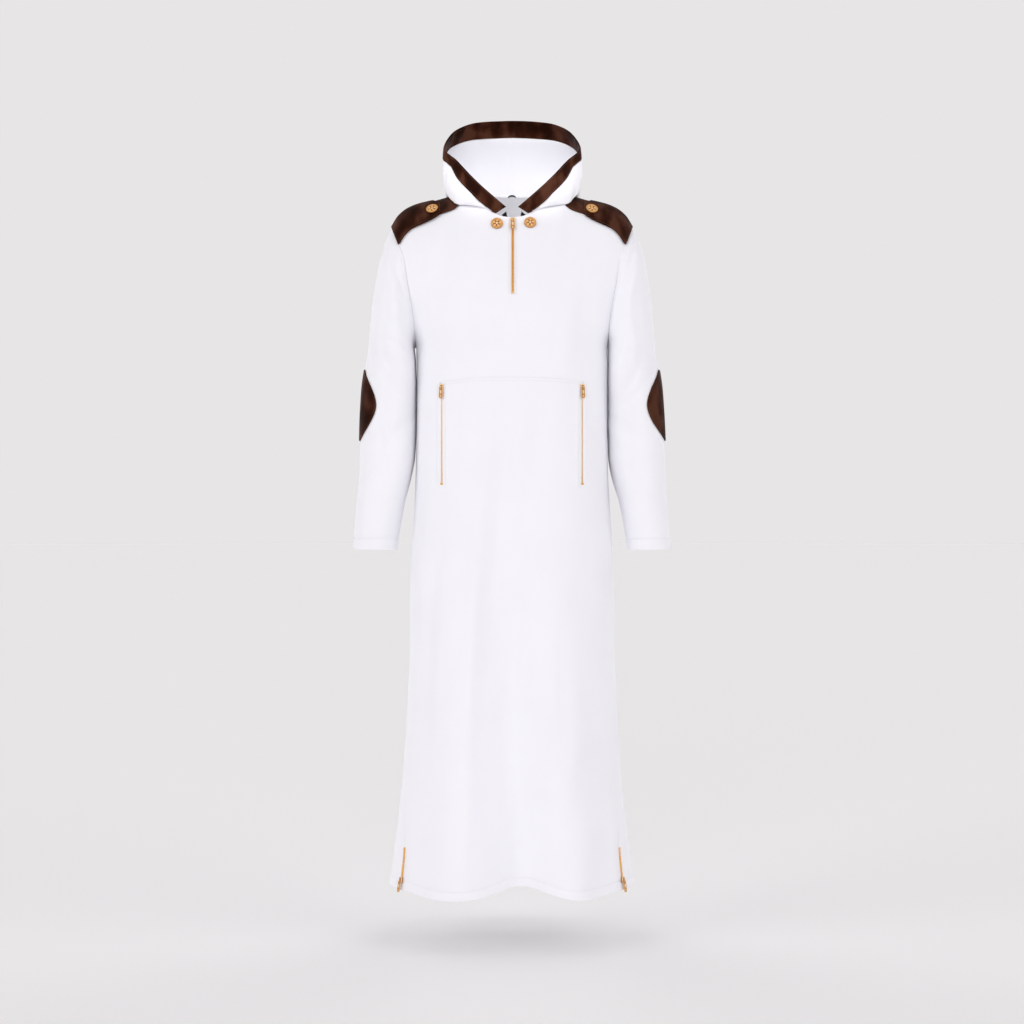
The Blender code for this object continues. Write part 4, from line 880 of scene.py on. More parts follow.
# ------------------------------------------------------------------ finishes
class Finish:
    """A Principled material with its node tree at hand."""

    def __init__(self, name, colour, roughness, metallic=0.0):
        self.material = bpy.data.materials.new(name)
        self.material.use_nodes = True
        self.tree = self.material.node_tree
        self.shader = self.tree.nodes["Principled BSDF"]
        self.set("Base Color", (*colour, 1.0))
        self.set("Roughness", roughness)
        self.set("Metallic", metallic)
        self.place = self.tree.nodes.new("ShaderNodeTexCoord").outputs["Object"]
        self.height = None

    def set(self, socket, value):
        self.shader.inputs[socket].default_value = value

    def math(self, operation, a, b=None):
        node = self.tree.nodes.new("ShaderNodeMath")
        node.operation = operation
        for socket, value in zip(node.inputs, (a, b)):
            if value is None:
                continue
            if isinstance(value, (int, float)):
                socket.default_value = value
            else:
                self.tree.links.new(value, socket)
        return node.outputs[0]

    def scaled(self, sizes):
        node = self.tree.nodes.new("ShaderNodeMapping")
        node.inputs["Scale"].default_value = sizes
        self.tree.links.new(self.place, node.inputs["Vector"])
        return node.outputs[0]

    def noise(self, scale, detail=3.0, roughness=0.5, stretch=(1, 1, 1)):
        node = self.tree.nodes.new("ShaderNodeTexNoise")
        node.inputs["Scale"].default_value = scale
        node.inputs["Detail"].default_value = detail
        node.inputs["Roughness"].default_value = roughness
        self.tree.links.new(self.scaled(stretch), node.inputs["Vector"])
        return node.outputs["Fac"]

    def span(self, value, low, high, to_low=0.0, to_high=1.0):
        node = self.tree.nodes.new("ShaderNodeMapRange")
        for socket, number in zip(("From Min", "From Max", "To Min", "To Max"), (low, high, to_low, to_high)):
            node.inputs[socket].default_value = number
        self.tree.links.new(value, node.inputs["Value"])
        return node.outputs["Result"]

    def colours(self, value, stops):
        node = self.tree.nodes.new("ShaderNodeValToRGB")
        ramp = node.color_ramp
        for element, (place, colour) in zip(ramp.elements, (stops[0], stops[-1])):
            element.position = place
            element.color = (*colour, 1.0)
        for place, colour in stops[1:-1]:
            ramp.elements.new(place).color = (*colour, 1.0)
        self.tree.links.new(value, node.inputs["Fac"])
        self.tree.links.new(node.outputs["Color"], self.shader.inputs["Base Color"])

    def bump(self, value, strength, distance):
        node = self.tree.nodes.new("ShaderNodeBump")
        node.inputs["Strength"].default_value = strength
        node.inputs["Distance"].default_value = distance
        self.tree.links.new(value, node.inputs["Height"])
        if self.height:
            self.tree.links.new(self.height, node.inputs["Normal"])
        self.height = node.outputs["Normal"]
        self.tree.links.new(self.height, self.shader.inputs["Normal"])

    def ribs(self, place, pitch, strength, distance):
        """Fine even ribs across a place in the cloth."""
        self.bump(self.math("SINE", self.math("MULTIPLY", place, 2 * math.pi / pitch)), strength, distance)

    def gloss(self, scale, fineness, low, high):
        """Roughness that varies between two values in patches."""
        rough = self.span(self.noise(scale, 3.0, fineness), 0.3, 0.7, low, high)
        self.tree.links.new(rough, self.shader.inputs["Roughness"])

    def parts(self):
        node = self.tree.nodes.new("ShaderNodeSeparateXYZ")
        self.tree.links.new(self.place, node.inputs[0])
        return node.outputs


WALE = 0.0011             # width of a column of knit stitches
COURSE = 0.0009           # height of a row of them
RIB = 0.0009              # width of a rib of the satin


def knit(name, light, dark):
    """Smooth heavy jersey: fine columns of V stitches under a soft nap."""
    made = Finish(name, light, 0.88)
    made.set("Specular IOR Level", 0.22)
    made.set("Sheen Weight", 0.18)
    made.set("Sheen Roughness", 0.45)
    made.colours(made.noise(7.0, 5.0, 0.55), [(0.30, dark), (0.70, light)])
    x, y, z = made.parts()
    round_place = made.math("ADD", x, made.math("MULTIPLY", y, 0.83))
    column = made.math("PINGPONG", made.math("DIVIDE", round_place, WALE), 0.5)
    row = made.math("ADD", made.math("DIVIDE", z, COURSE), made.math("MULTIPLY", column, 1.5))
    loops = made.math("SINE", made.math("MULTIPLY", row, 2 * math.pi))
    loops = made.math("ADD", loops, made.math("MULTIPLY", column, 2.4))
    made.bump(loops, 0.22, 0.00012)
    made.bump(made.noise(420.0, 3.0, 0.6), 0.16, 0.0003)
    made.bump(made.noise(38.0, 4.0, 0.55), 0.10, 0.0012)
    return made.material


def satin(name):
    """Dark brown satin with a fine cross rib and a soft, uneven sheen, painted into its colour as broad light
    and dark bands.
    """
    made = Finish(name, (0.030, 0.0080, 0.0036), 0.46)
    made.set("Specular IOR Level", 0.02)
    made.set("Sheen Weight", 0.02)
    made.set("Sheen Roughness", 0.35)
    made.set("Sheen Tint", (0.60, 0.30, 0.20, 1.0))
    # Painted sheen: broad stretched bands in the base colour stand in for the satin's reflections, with a
    # fine nap of random tone over them.
    painted_sheen_bands = made.noise(30.0, 1.0, 0.4, (1.3, 1.0, 0.6))
    shade = made.math("ADD", made.math("MULTIPLY", painted_sheen_bands, 0.80),
                      made.math("MULTIPLY", made.noise(260.0, 2.0, 0.5, (1, 1, 3)), 0.20))
    made.colours(shade, [(0.36, (0.0160, 0.0040, 0.0018)), (0.47, (0.032, 0.0086, 0.0040)),
                         (0.60, (0.074, 0.0265, 0.0150))])
    x, y, z = made.parts()
    place = made.math("ADD", x, made.math("MULTIPLY", y, 0.6))
    place = made.math("ADD", place, made.math("MULTIPLY", z, 0.9))
    made.ribs(place, RIB, 0.20, 0.00010)
    made.bump(made.noise(600.0, 2.0, 0.5), 0.14, 0.0002)
    made.gloss(45.0, 0.5, 0.38, 0.55)
    return made.material


def gold_surface(made, low, high):
    """Fine wear, the same on all the metal."""
    made.gloss(900.0, 0.6, low, high)
    made.bump(made.noise(1500.0, 3.0, 0.6), 0.18, 0.00008)
    return made.material


def metal(name):
    """Gold-plated metal, a little darker and duller in patches, with fine wear."""
    made = Finish(name, (0.86, 0.510, 0.200), 0.27, metallic=1.0)
    made.colours(made.noise(520.0, 4.0, 0.6), [(0.30, (0.78, 0.410, 0.120)), (0.52, (0.95, 0.580, 0.210)),
                                               (0.78, (0.98, 0.730, 0.360))])
    return gold_surface(made, 0.16, 0.36)


def metal_with_painted_light(name):
    """The same gold on buttons, sliders and tabs, with painted shade dark in its hollows and a painted
    highlight pale on its tops.
    """
    made = Finish(name, (0.74, 0.400, 0.150), 0.34, metallic=1.0)
    relief = made.tree.nodes.new("ShaderNodeAttribute")
    relief.attribute_name = "painted_light"
    # Painted light: the attribute paints hollows dark as shade and raised tops pale as highlights, with a
    # fine noise of random tone over it.
    shade = made.math("ADD", relief.outputs["Fac"], made.math("MULTIPLY", made.noise(700.0, 3.0, 0.6), 0.24))
    made.colours(shade, [(0.20, (0.12, 0.034, 0.008)), (0.46, (0.50, 0.215, 0.060)),
                         (0.70, (0.88, 0.480, 0.170)), (1.0, (0.96, 0.720, 0.440))])
    return gold_surface(made, 0.24, 0.44)


def woven(name, light, dark, pitch, roughness=0.8):
    """Narrow woven tape or twisted thread."""
    made = Finish(name, light, roughness)
    made.set("Specular IOR Level", 0.25)
    made.colours(made.noise(300.0, 3.0, 0.6), [(0.35, dark), (0.65, light)])
    x, y, z = made.parts()
    place = made.math("ADD", made.math("MULTIPLY", x, 0.7), made.math("ADD", y, z))
    made.ribs(place, pitch, 0.35, 0.00012)
    return made.material


white = knit("cloth_white", (0.876, 0.872, 0.914), (0.858, 0.853, 0.897))
brown = satin("satin_brown")
gold = metal("plated_gold")
gold_with_painted_light = metal_with_painted_light("gold_with_painted_light")
black = woven("woven_black", (0.016, 0.014, 0.016), (0.008, 0.007, 0.008), 0.0008)
white_thread = woven("thread_white", (0.80, 0.795, 0.825), (0.74, 0.735, 0.765), 0.0005, 0.6)
brown_thread = woven("thread_brown", (0.200, 0.085, 0.050), (0.120, 0.048, 0.028), 0.0005, 0.5)
tape_gold = woven("tape_gold", (0.95, 0.56, 0.19), (0.80, 0.44, 0.13), 0.0006)


# ------------------------------------------------------------------ meshes
def shown(name, points, faces, finish, smooth=True, body=GARMENT, sharp=None):
    """One piece that rides a body."""
    mesh = bpy.data.meshes.new(name)
    mesh.from_pydata([tuple(point) for point in points], [], faces)
    mesh.update()
    if smooth:
        mesh.shade_smooth()
        if sharp is not None:
            mesh.set_sharp_from_angle(angle=math.radians(sharp))
    mesh.materials.append(finish)
    item = bpy.data.objects.new(name, mesh)
    bpy.context.scene.collection.objects.link(item)
    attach(item, body)
    return item


ROUND_EDGE = (55.0, 20.0, -20.0, -55.0)   # where an edge's turn is sampled, in degrees
EDGE_FLAT = 0.9                           # how far it is drawn in, as a share of half the wall


def grid_border(points, ring):
    """The loops of point numbers round a grid, and the way out of the grid at each point."""
    index = np.arange(points.shape[0] * points.shape[1]).reshape(points.shape[:2])
    up, down = points[0] - points[1], points[-1] - points[-2]
    if ring:
        return [(index[0], up), (index[-1][::-1], down[::-1])]
    left, right = points[:, 0] - points[:, 1], points[:, -1] - points[:, -2]
    up, down, left, right = unit(up), unit(down), unit(left), unit(right)
    up[0] += left[0]
    up[-1] += right[0]
    down[0] += left[-1]
    down[-1] += right[-1]
    return [(np.concatenate([index[0], index[1:, -1], index[-1, -2::-1], index[-2:0:-1, 0]]),
             np.concatenate([up, right[1:-1], down[::-1], left[-2:0:-1]]))]


def shell(points, thickness, lift, ring=False):
    """Vertices and faces of a closed wall with rounded edges: the grid moved out by lift,
    and the same moved back by the thickness."""
    height, width = points.shape[:2]
    normals = normals_of(points, ring)
    flat = points.reshape(-1, 3)
    out = normals.reshape(-1, 3)
    outer, inner = flat + out * lift, flat + out * (lift - thickness)
    count = len(flat)
    turn = thickness / 2
    vertices = [outer, inner]
    made = 2 * count
    faces = []
    columns = width if ring else width - 1
    for j in range(height - 1):
        for i in range(columns):
            a, b = j * width + i, j * width + (i + 1) % width
            c, d = b + width, a + width
            faces.append((a, b, c, d))
            faces.append((count + d, count + c, count + b, count + a))
    for loop, way in grid_border(points, ring):
        way = unit(way)
        outer[loop] -= way * turn * EDGE_FLAT
        inner[loop] -= way * turn * EDGE_FLAT
        rings = [loop]
        for degrees in ROUND_EDGE:
            angle = math.radians(degrees)
            middle = flat[loop] + out[loop] * (lift - turn)
            vertices.append(middle + out[loop] * turn * math.sin(angle)
                            - way * turn * EDGE_FLAT * (1 - math.cos(angle)))
            rings.append(made + np.arange(len(loop)))
            made += len(loop)
        rings.append(loop + count)
        for upper, lower in zip(rings, rings[1:]):
            for k in range(len(loop)):
                n = (k + 1) % len(loop)
                faces.append((int(upper[n]), int(upper[k]), int(lower[k]), int(lower[n])))
    return np.concatenate(vertices), faces


def cloth(node, points, thickness, lift, finish, ring=False, kind="_cloth"):
    """A piece of cloth that stands for its CAD node."""
    item = shown(node + kind, *shell(points, thickness, lift, ring), finish)
    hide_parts(node)
    return item


def drawn_in(points, first=0.0, last=0.0, top=0.0, bottom=0.0):
    """Move a grid's border in along the grid, which opens the seams."""
    points = points.copy()
    for distance, edge, beside in ((first, np.s_[:, 0], np.s_[:, 1]), (last, np.s_[:, -1], np.s_[:, -2]),
                                   (top, np.s_[0], np.s_[1]), (bottom, np.s_[-1], np.s_[-2])):
        if distance:
            points[edge] += unit(points[beside] - points[edge]) * distance
    return points


# ------------------------------------------------------------------ sewing
STITCH = 0.0030
STITCH_GAP = 0.0008
THREAD = 0.00032
# A stitch: share of its length, half thickness and height in thread widths.
STITCH_SHAPE = [(0.00, 0.0, -0.2), (0.16, 0.8, 0.35), (0.50, 1.0, 0.75), (0.84, 0.8, 0.35), (1.00, 0.0, -0.2)]
THREAD_SIDES = 5
CORNER_SHARE = 0.95       # a border line ends where its neighbour's edge is nearer than this


def line_on(points, lift, inset=0.0, end=-1, ring=False):
    """A line along the end of the grid's rows, at a distance in from it."""
    normals = normals_of(points, ring)
    gap = edge_distance(points, end)
    line = []
    for i in range(points.shape[1]):
        order = np.argsort(gap[:, i])
        place = [np.interp(inset, gap[order, i], points[order, i, k]) for k in range(3)]
        out = [np.interp(inset, gap[order, i], normals[order, i, k]) for k in range(3)]
        line.append((np.array(place) + np.array(out) * lift, np.array(out)))
    return line


def side_line(points, lift, inset, end):
    """The same along the end of its columns."""
    return [(p, -n) for p, n in line_on(points.transpose(1, 0, 2), -lift, inset=inset, end=end)]


def border_lines(points, lift, inset):
    """Lines inside all four sides of a grid, each cut where it meets its neighbours."""
    sides = [line_on(points, lift, inset=inset, end=0), line_on(points, lift, inset=inset),
             side_line(points, lift, inset, 0), side_line(points, lift, inset, -1)]
    edges = [points[0], points[-1], points[:, 0], points[:, -1]]
    lines = []
    for k, side in enumerate(sides):
        others = np.concatenate([edge for m, edge in enumerate(edges) if m != k])
        kept = [(p, n) for p, n in side
                if np.linalg.norm(others - (p - n * lift), axis=1).min() > inset * CORNER_SHARE]
        if len(kept) > 2:
            lines.append(kept)
    return lines


def sewing(node, lines, finish):
    """Rows of stitches on a piece, along lines of (point, normal)."""
    vertices, faces = [], []
    sides = THREAD_SIDES
    for line in lines:
        places = np.array([point for point, _ in line])
        outs = np.array([out for _, out in line])
        lengths = np.concatenate([[0], np.cumsum(np.linalg.norm(np.diff(places, axis=0), axis=1))])
        count = int(lengths[-1] / (STITCH + STITCH_GAP))
        for k in range(count):
            start = lengths[-1] * k / count
            rows = []
            for share, wide, high in STITCH_SHAPE:
                at = start + share * STITCH
                place = np.array([np.interp(at, lengths, places[:, i]) for i in range(3)])
                out = unit(np.array([np.interp(at, lengths, outs[:, i]) for i in range(3)]))
                rows.append((place + out * THREAD * high, out, wide * THREAD))
            way = unit(rows[-1][0] - rows[0][0])
            base = len(vertices)
            vertices.append(rows[0][0])
            for place, out, wide in rows[1:-1]:
                across = np.cross(way, out)
                for s in range(sides):
                    angle = 2 * math.pi * s / sides
                    vertices.append(place + (across * math.cos(angle) + out * math.sin(angle)) * wide)
            vertices.append(rows[-1][0])
            last = len(vertices) - 1
            for s in range(sides):
                n = (s + 1) % sides
                faces.append((base, base + 1 + s, base + 1 + n))
                faces.append((last, last - sides + n, last - sides + s))
                for r in range(2):
                    a = base + 1 + r * sides
                    faces.append((a + s, a + sides + s, a + sides + n, a + n))
    return shown(node + "_stitching", vertices, faces, finish)


# ------------------------------------------------------------------ zips and buttons
NECK_ZIP = (0.0014, -0.0345, -0.1830)
POCKET_ZIP = (0.1365, -0.3635, -0.5575)
HEM_ZIP_END = -1.3275
SEAM_STEP = 0.0020
CHAIN_LIFT = 0.0008
CHAIN_HEIGHT = 0.0022
SLIDER_GAP = 0.0003
SLIDER_LENGTH = 0.0130
SLIDER_WIDE = 0.0112
SLIDER_NARROW = 0.0074
HEM_BRIDGE_SHIFT = 0.0030
TAB_AXIS = 0.0055
TAB_HALF_THICK = 0.0006
TAB_OUTLINE = [(-0.0006, 0.0031), (0.0006, 0.0031), (0.0038, 0.0031), (0.0060, 0.0030),
               (0.0178, 0.0037), (0.0205, 0.0027)]
TOOTH_PITCH = 0.00125     # between a tooth and the next one, on the other side
TOOTH = [  # height, half length along the chain, place across of its root and its tip
    (0.0000, 0.00040, 0.0019, -0.0005), (0.0007, 0.00048, 0.0020, -0.0006),
    (0.0016, 0.00045, 0.0018, -0.0005), (0.0021, 0.00026, 0.0013, -0.0001)]
TAPE_HALF = 0.0022
TAPE_THICK = 0.0006
# Outline of the slider's plates: share of the way up, share of the half width.
PLATE = [(0.00, 0.45), (0.02, 0.78), (0.07, 0.98), (0.20, 1.00), (0.45, 1.00), (0.70, 1.00),
         (0.88, 0.97), (0.96, 0.78), (1.00, 0.42)]
# Its sections: height above the cloth, how far it is drawn in.
PLATE_SECTIONS = [(0.0008, 0.0004), (0.0011, 0.0), (0.0018, 0.0), (0.0020, 0.0008), (0.0030, 0.0008),
                  (0.0032, 0.0), (0.0039, 0.0001), (0.0043, 0.0006), (0.0044, 0.0012)]
BRIDGE_PATH = [(-0.0021, 0.0042), (-0.0021, 0.0054), (-0.0019, 0.0062), (-0.0012, 0.0068),
               (0.0, 0.0070), (0.0012, 0.0068), (0.0019, 0.0062), (0.0021, 0.0054), (0.0021, 0.0042)]
PLATE_HIGHLIGHT_ABOVE = 0.0038       # the slider's gold is painted brighter above this height, a painted highlight on its top
# How light the plates are painted below and above that height.
PLATE_PAINTED_LIGHT = (0.45, 0.90)
WIRE_SIDES = 10
SHADE_PAD = (0.0024, -0.0034, 0.0042)   # a dark pad of painted shade under its arch: half width, ends
SHADE_PAD_FOOT = 0.0041
SHADE_PAD_TOP = 0.0046
SHADE_PAD_SLOPE = 0.0002
# How light the pad of painted shade is: dark.
SHADE_PAD_LEVEL = 0.30
# How light each ring of the tab is painted: pale on its raised edge and the eye's rim as painted highlights,
# dark at the edge's foot and inside the eye as painted shade.
TAB_PAINTED_LIGHT = (0.60, 0.85, 1.00, 0.90, 0.34, 0.38, 0.85, 0.70, 0.20, 0.40, 0.55, 0.55, 0.60)
TAB_REACH = 0.0208
TAB_STEPS = 44
TAB_EYE = [(0.0, -0.0006), (0.0012, -0.0006), (0.0012, -0.0038), (0.0, -0.0038), (-0.0012, -0.0038),
           (-0.0012, -0.0006)]
CORNER_KEPT = 0.8           # where a corner is cut off, as shares of its sides
CORNER_CUT = 0.2
TAB_ROOM = 0.40             # the share of the way to the eye that the raised edge may take
# The tab's sections: how far they are drawn in or grown, height in half thicknesses.
TAB_FRONT = [(0.0, 0.0), (0.0001, 0.7), (0.00035, 1.0), (0.0009, 1.0), (0.0011, 0.6)]
TAB_EYE_RIM = [(0.0004, 0.6), (0.0003, 1.0), (0.0001, 0.8), (0.0, 0.0), (0.0001, -0.8), (0.0003, -1.0)]
TAB_BACK = [(0.00035, -1.0), (0.0001, -0.7)]
# Its raised panels: half width with lower and upper ends, height, how light they are painted as highlights.
TAB_PADS = [((0.0017, -0.0126, -0.0056), 1.35, 1.0), ((0.0018, -0.0194, -0.0148), 0.95, 0.72)]
PAD_FOOT = 0.4
PAD_SLOPE = 0.0003
BRIDGE_HALF = (0.0006, 0.00042)   # the arch's wire: half width across, half height
STOP = (0.0001, 0.0036, 0.0026)   # the zip's end stop: its ends below the chain's end, half width
TAPE_STEP = 0.006
TAPE_RISE = 0.0002
NORMAL_STEP = 0.001
METAL_SHARP = 35            # edges of sliders and tabs that turn more, in degrees, stay sharp

cad_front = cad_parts["front"].data
cad_shape = BVHTree.FromPolygons([v.co for v in cad_front.vertices],
                                 [tuple(p.vertices) for p in cad_front.polygons])


def front_normal(x, z):
    across = torso_point(-1, x + NORMAL_STEP, z) - torso_point(-1, x - NORMAL_STEP, z)
    up = torso_point(-1, x, z + NORMAL_STEP) - torso_point(-1, x, z - NORMAL_STEP)
    return across.cross(up).normalized()


class Seat:
    """A place on the front panel: sideways, along the zip and outward."""

    def __init__(self, x, z, along):
        self.out = front_normal(x, z)
        self.point = cad_shape.find_nearest(torso_point(-1, x, z))[0]
        self.along = (along - self.out * along.dot(self.out)).normalized()
        self.side = self.along.cross(self.out)

    def at(self, s, t, n):
        return self.point + self.side * s + self.along * t + self.out * n


def lofted(rings, closed=False, caps=True):
    """Vertices and faces through rings of as many points each."""
    count = len(rings[0])
    vertices = [point for ring in rings for point in ring]
    faces = []
    last = len(rings) if closed else len(rings) - 1
    for r in range(last):
        a, b = r * count, (r + 1) % len(rings) * count
        for i in range(count):
            n = (i + 1) % count
            faces.append((a + i, a + n, b + n, b + i))
    if caps and not closed:
        faces.append(tuple(reversed(range(count))))
        faces.append(tuple(range((len(rings) - 1) * count, len(rings) * count)))
    return vertices, faces


def joined(parts):
    """Several meshes' vertices and faces as one."""
    vertices, faces = [], []
    for more_vertices, more_faces in parts:
        base = len(vertices)
        vertices += list(more_vertices)
        faces += [tuple(base + i for i in face) for face in more_faces]
    return vertices, faces


def tooth(seat, hand):
    """A tooth of the chain, on one side or the other."""
    rings = []
    for height, half, root, tip in TOOTH:
        corners = [(root, -half), (root, half), (tip, half), (tip, -half)]
        if hand < 0:
            corners = [(-s, t) for s, t in reversed(corners)]
        rings.append([seat.at(s, t, CHAIN_LIFT + height) for s, t in corners])
    return lofted(rings)


def strip(seats, half, low, high):
    """A flat tape under the teeth."""
    rings = [[seat.at(s, 0, n) for s, n in ((-half, low), (half, low), (half, high), (-half, high))]
             for seat in seats]
    return lofted(rings)


def inset(outline, distance, limits=None):
    """An outline drawn in by a distance, or less where the limits say so."""
    count = len(outline)
    result = []
    for i, point in enumerate(outline):
        before, after = outline[i - 1], outline[(i + 1) % count]
        way = Vector((after[1] - before[1], before[0] - after[0]))
        if way.length < 1e-9:
            result.append(point)
            continue
        way.normalize()
        step = distance if limits is None else min(distance, limits[i])
        result.append((point[0] - way.x * step, point[1] - way.y * step))
    return result


def pad(seat, half, low, high, foot, top, edge):
    """A low raised plate between two places along the zip, its sides sloped and then rounded."""
    rings = []
    for height, drawn in ((foot, 0.0), (foot * 0.3 + top * 0.7, edge * 0.3), (top, edge)):
        s, lower, upper = half - drawn, low + drawn, high - drawn
        rings.append([seat.at(x, t, height) for x, t in ((-s, lower), (s, lower), (s, upper), (-s, upper))])
    return lofted(rings)


def with_painted_light(item, parts, values):
    """Writes how light the gold of each part is painted, for its painted shade and painted highlights."""
    painted_light = []
    for (vertices, _), value in zip(parts, values):
        painted_light += [value] * len(vertices) if isinstance(value, float) else value
    item.data.attributes.new("painted_light", "FLOAT", "POINT").data.foreach_set("value", painted_light)


def slider(seat, shift, wide_up):
    """The slider's plates, a dark pad of painted shade on them and the arch, with how light each is painted.
    """
    half = SLIDER_LENGTH / 2
    right = []
    for up, wide in PLATE:
        share = up if wide_up else 1.0 - up
        width = (SLIDER_NARROW + (SLIDER_WIDE - SLIDER_NARROW) * share) / 2
        right.append((width * wide, shift - half + SLIDER_LENGTH * up))
    outline = right + [(-s, t) for s, t in reversed(right)]
    plates = []
    for height, drawn in PLATE_SECTIONS:
        plates.append([seat.at(s, t, height) for s, t in inset(outline, drawn)])
    wires = []
    for k, (t, n) in enumerate(BRIDGE_PATH):
        before, after = BRIDGE_PATH[max(k - 1, 0)], BRIDGE_PATH[min(k + 1, len(BRIDGE_PATH) - 1)]
        way = Vector((after[0] - before[0], after[1] - before[1])).normalized()
        ring = []
        for i in range(WIRE_SIDES):
            angle = 2 * math.pi * i / WIRE_SIDES
            rise = math.sin(angle) * BRIDGE_HALF[1]
            ring.append(seat.at(math.cos(angle) * BRIDGE_HALF[0], t - way.y * rise, n + way.x * rise))
        wires.append(ring)
    # Painted light: the plates are paler above a height as a highlight, the pad is dark as shade under the
    # arch, and the arch is bright.
    painted_light = [PLATE_PAINTED_LIGHT[height > PLATE_HIGHLIGHT_ABOVE] for height, _ in PLATE_SECTIONS for _ in outline]
    shade_pad = pad(seat, SHADE_PAD[0], shift + SHADE_PAD[1], shift + SHADE_PAD[2], SHADE_PAD_FOOT, SHADE_PAD_TOP, SHADE_PAD_SLOPE)
    return [lofted(plates), shade_pad, lofted(wires[::-1])], [painted_light, SHADE_PAD_LEVEL, 1.0]


def rounded_line(corners, count):
    """A closed outline with its corners cut off twice, in evenly spaced points."""
    for _ in range(2):
        corners = [(a[0] * near + b[0] * far, a[1] * near + b[1] * far)
                   for a, b in zip(corners, corners[1:] + corners[:1])
                   for near, far in ((CORNER_KEPT, CORNER_CUT), (CORNER_CUT, CORNER_KEPT))]
    path = corners + corners[:1]
    lengths = np.concatenate([[0], np.cumsum([math.dist(a, b) for a, b in zip(path, path[1:])])])
    places = [lengths[-1] * k / count for k in range(count)]
    xs, ys = zip(*path)
    return [(float(np.interp(at, lengths, xs)), float(np.interp(at, lengths, ys))) for at in places]


def tab(seat):
    """The pull tab: a plate with a raised edge, and the eye that the slider's arch goes through."""
    right = [(half, -away) for away, half in TAB_OUTLINE]
    corners = [(0.0, right[0][1])] + right + [(0.0, -TAB_REACH)] + [(-s, t) for s, t in reversed(right)]
    outline = rounded_line(corners, TAB_STEPS)
    eye = rounded_line(TAB_EYE, TAB_STEPS)
    room = [min(math.dist(p, q) for q in eye) * TAB_ROOM for p in outline]
    high = TAB_HALF_THICK
    rings = [[(s, t, n * high) for s, t in inset(outline, drawn, room)] for drawn, n in TAB_FRONT]
    rings += [[(s, t, n * high) for s, t in inset(eye, -grown)] for grown, n in TAB_EYE_RIM]
    rings += [[(s, t, n * high) for s, t in inset(outline, drawn, room)] for drawn, n in TAB_BACK]
    placed = [[seat.at(s, t, TAB_AXIS + n) for s, t, n in ring] for ring in rings]
    vertices, faces = lofted(placed, closed=True)
    painted_light = [value for value in TAB_PAINTED_LIGHT for _ in range(TAB_STEPS)]
    foot = TAB_AXIS + PAD_FOOT * high
    pads = [pad(seat, *place, foot, TAB_AXIS + top * high, PAD_SLOPE) for place, top, _ in TAB_PADS]
    return [(vertices, [face[::-1] for face in faces])] + pads, [painted_light] + [painted_level for _, _, painted_level in TAB_PADS]


# Face of a button: distance from the middle as a share of the radius, height, and how light
# its gold is painted, dark as painted shade in the hollows and pale as a painted highlight on the raised
# parts. The petals and the beads stand on it.
BUTTON_R = 0.0120
BUTTON_FACE = [(0.00, 0.0037, 0.95), (0.10, 0.0037, 0.95), (0.17, 0.0035, 0.80), (0.21, 0.0027, 0.10),
               (0.26, 0.0026, 0.05), (0.34, 0.0026, 0.05), (0.42, 0.0026, 0.05), (0.50, 0.0026, 0.05),
               (0.58, 0.0026, 0.05), (0.64, 0.0026, 0.05), (0.68, 0.0026, 0.05), (0.73, 0.0027, 0.20),
               (0.76, 0.0031, 0.60), (0.79, 0.0029, 0.40), (0.83, 0.0027, 0.25), (0.87, 0.0027, 0.30),
               (0.90, 0.0033, 0.50), (0.935, 0.0038, 0.55), (0.965, 0.0038, 0.55), (0.99, 0.0033, 0.45),
               (1.00, 0.0024, 0.40), (1.00, 0.0010, 0.30), (0.975, 0.0003, 0.20), (0.93, 0.0000, 0.20)]
BUTTON_STEPS = 192
PETALS = 5
PETAL_SPAN = (0.20, 0.75)       # shares of the radius
PETAL_HEIGHT = 0.0013
# How much paler the petals are painted as they rise: a painted highlight.
PETAL_HIGHLIGHT = 0.95
VEIN = (0.5, 0.12)              # depth and half width of the groove between two halves
LEAF = (14, 0.7)                # sharpness and height of the leaves between petals
PETAL_ROUND = (0.5, 1.7)        # powers along and across
BEADS = 28
BEAD_SPAN = (0.78, 0.88)
BEAD_HEIGHT = 0.0006
# How much paler the beads are painted: a painted highlight.
BEAD_HIGHLIGHT = 0.45
NOTCHES = 56
NOTCH_START = 0.885
NOTCH_ABOVE = 0.0030
NOTCH_DEPTH = 0.00018


def petals(angle, along):
    """Relief of the rosette, from the middle (0) to the petals' tips (1)."""
    swing = math.sin(angle * PETALS / 2)
    lobe = abs(math.cos(angle * PETALS / 2)) ** PETAL_ROUND[1]
    vein = 1 - VEIN[0] * math.exp(-(swing / VEIN[1]) ** 2)
    leaf = abs(swing) ** LEAF[0] * along ** 2 * LEAF[1]
    return math.sin(math.pi * along) ** PETAL_ROUND[0] * lobe * vein + leaf


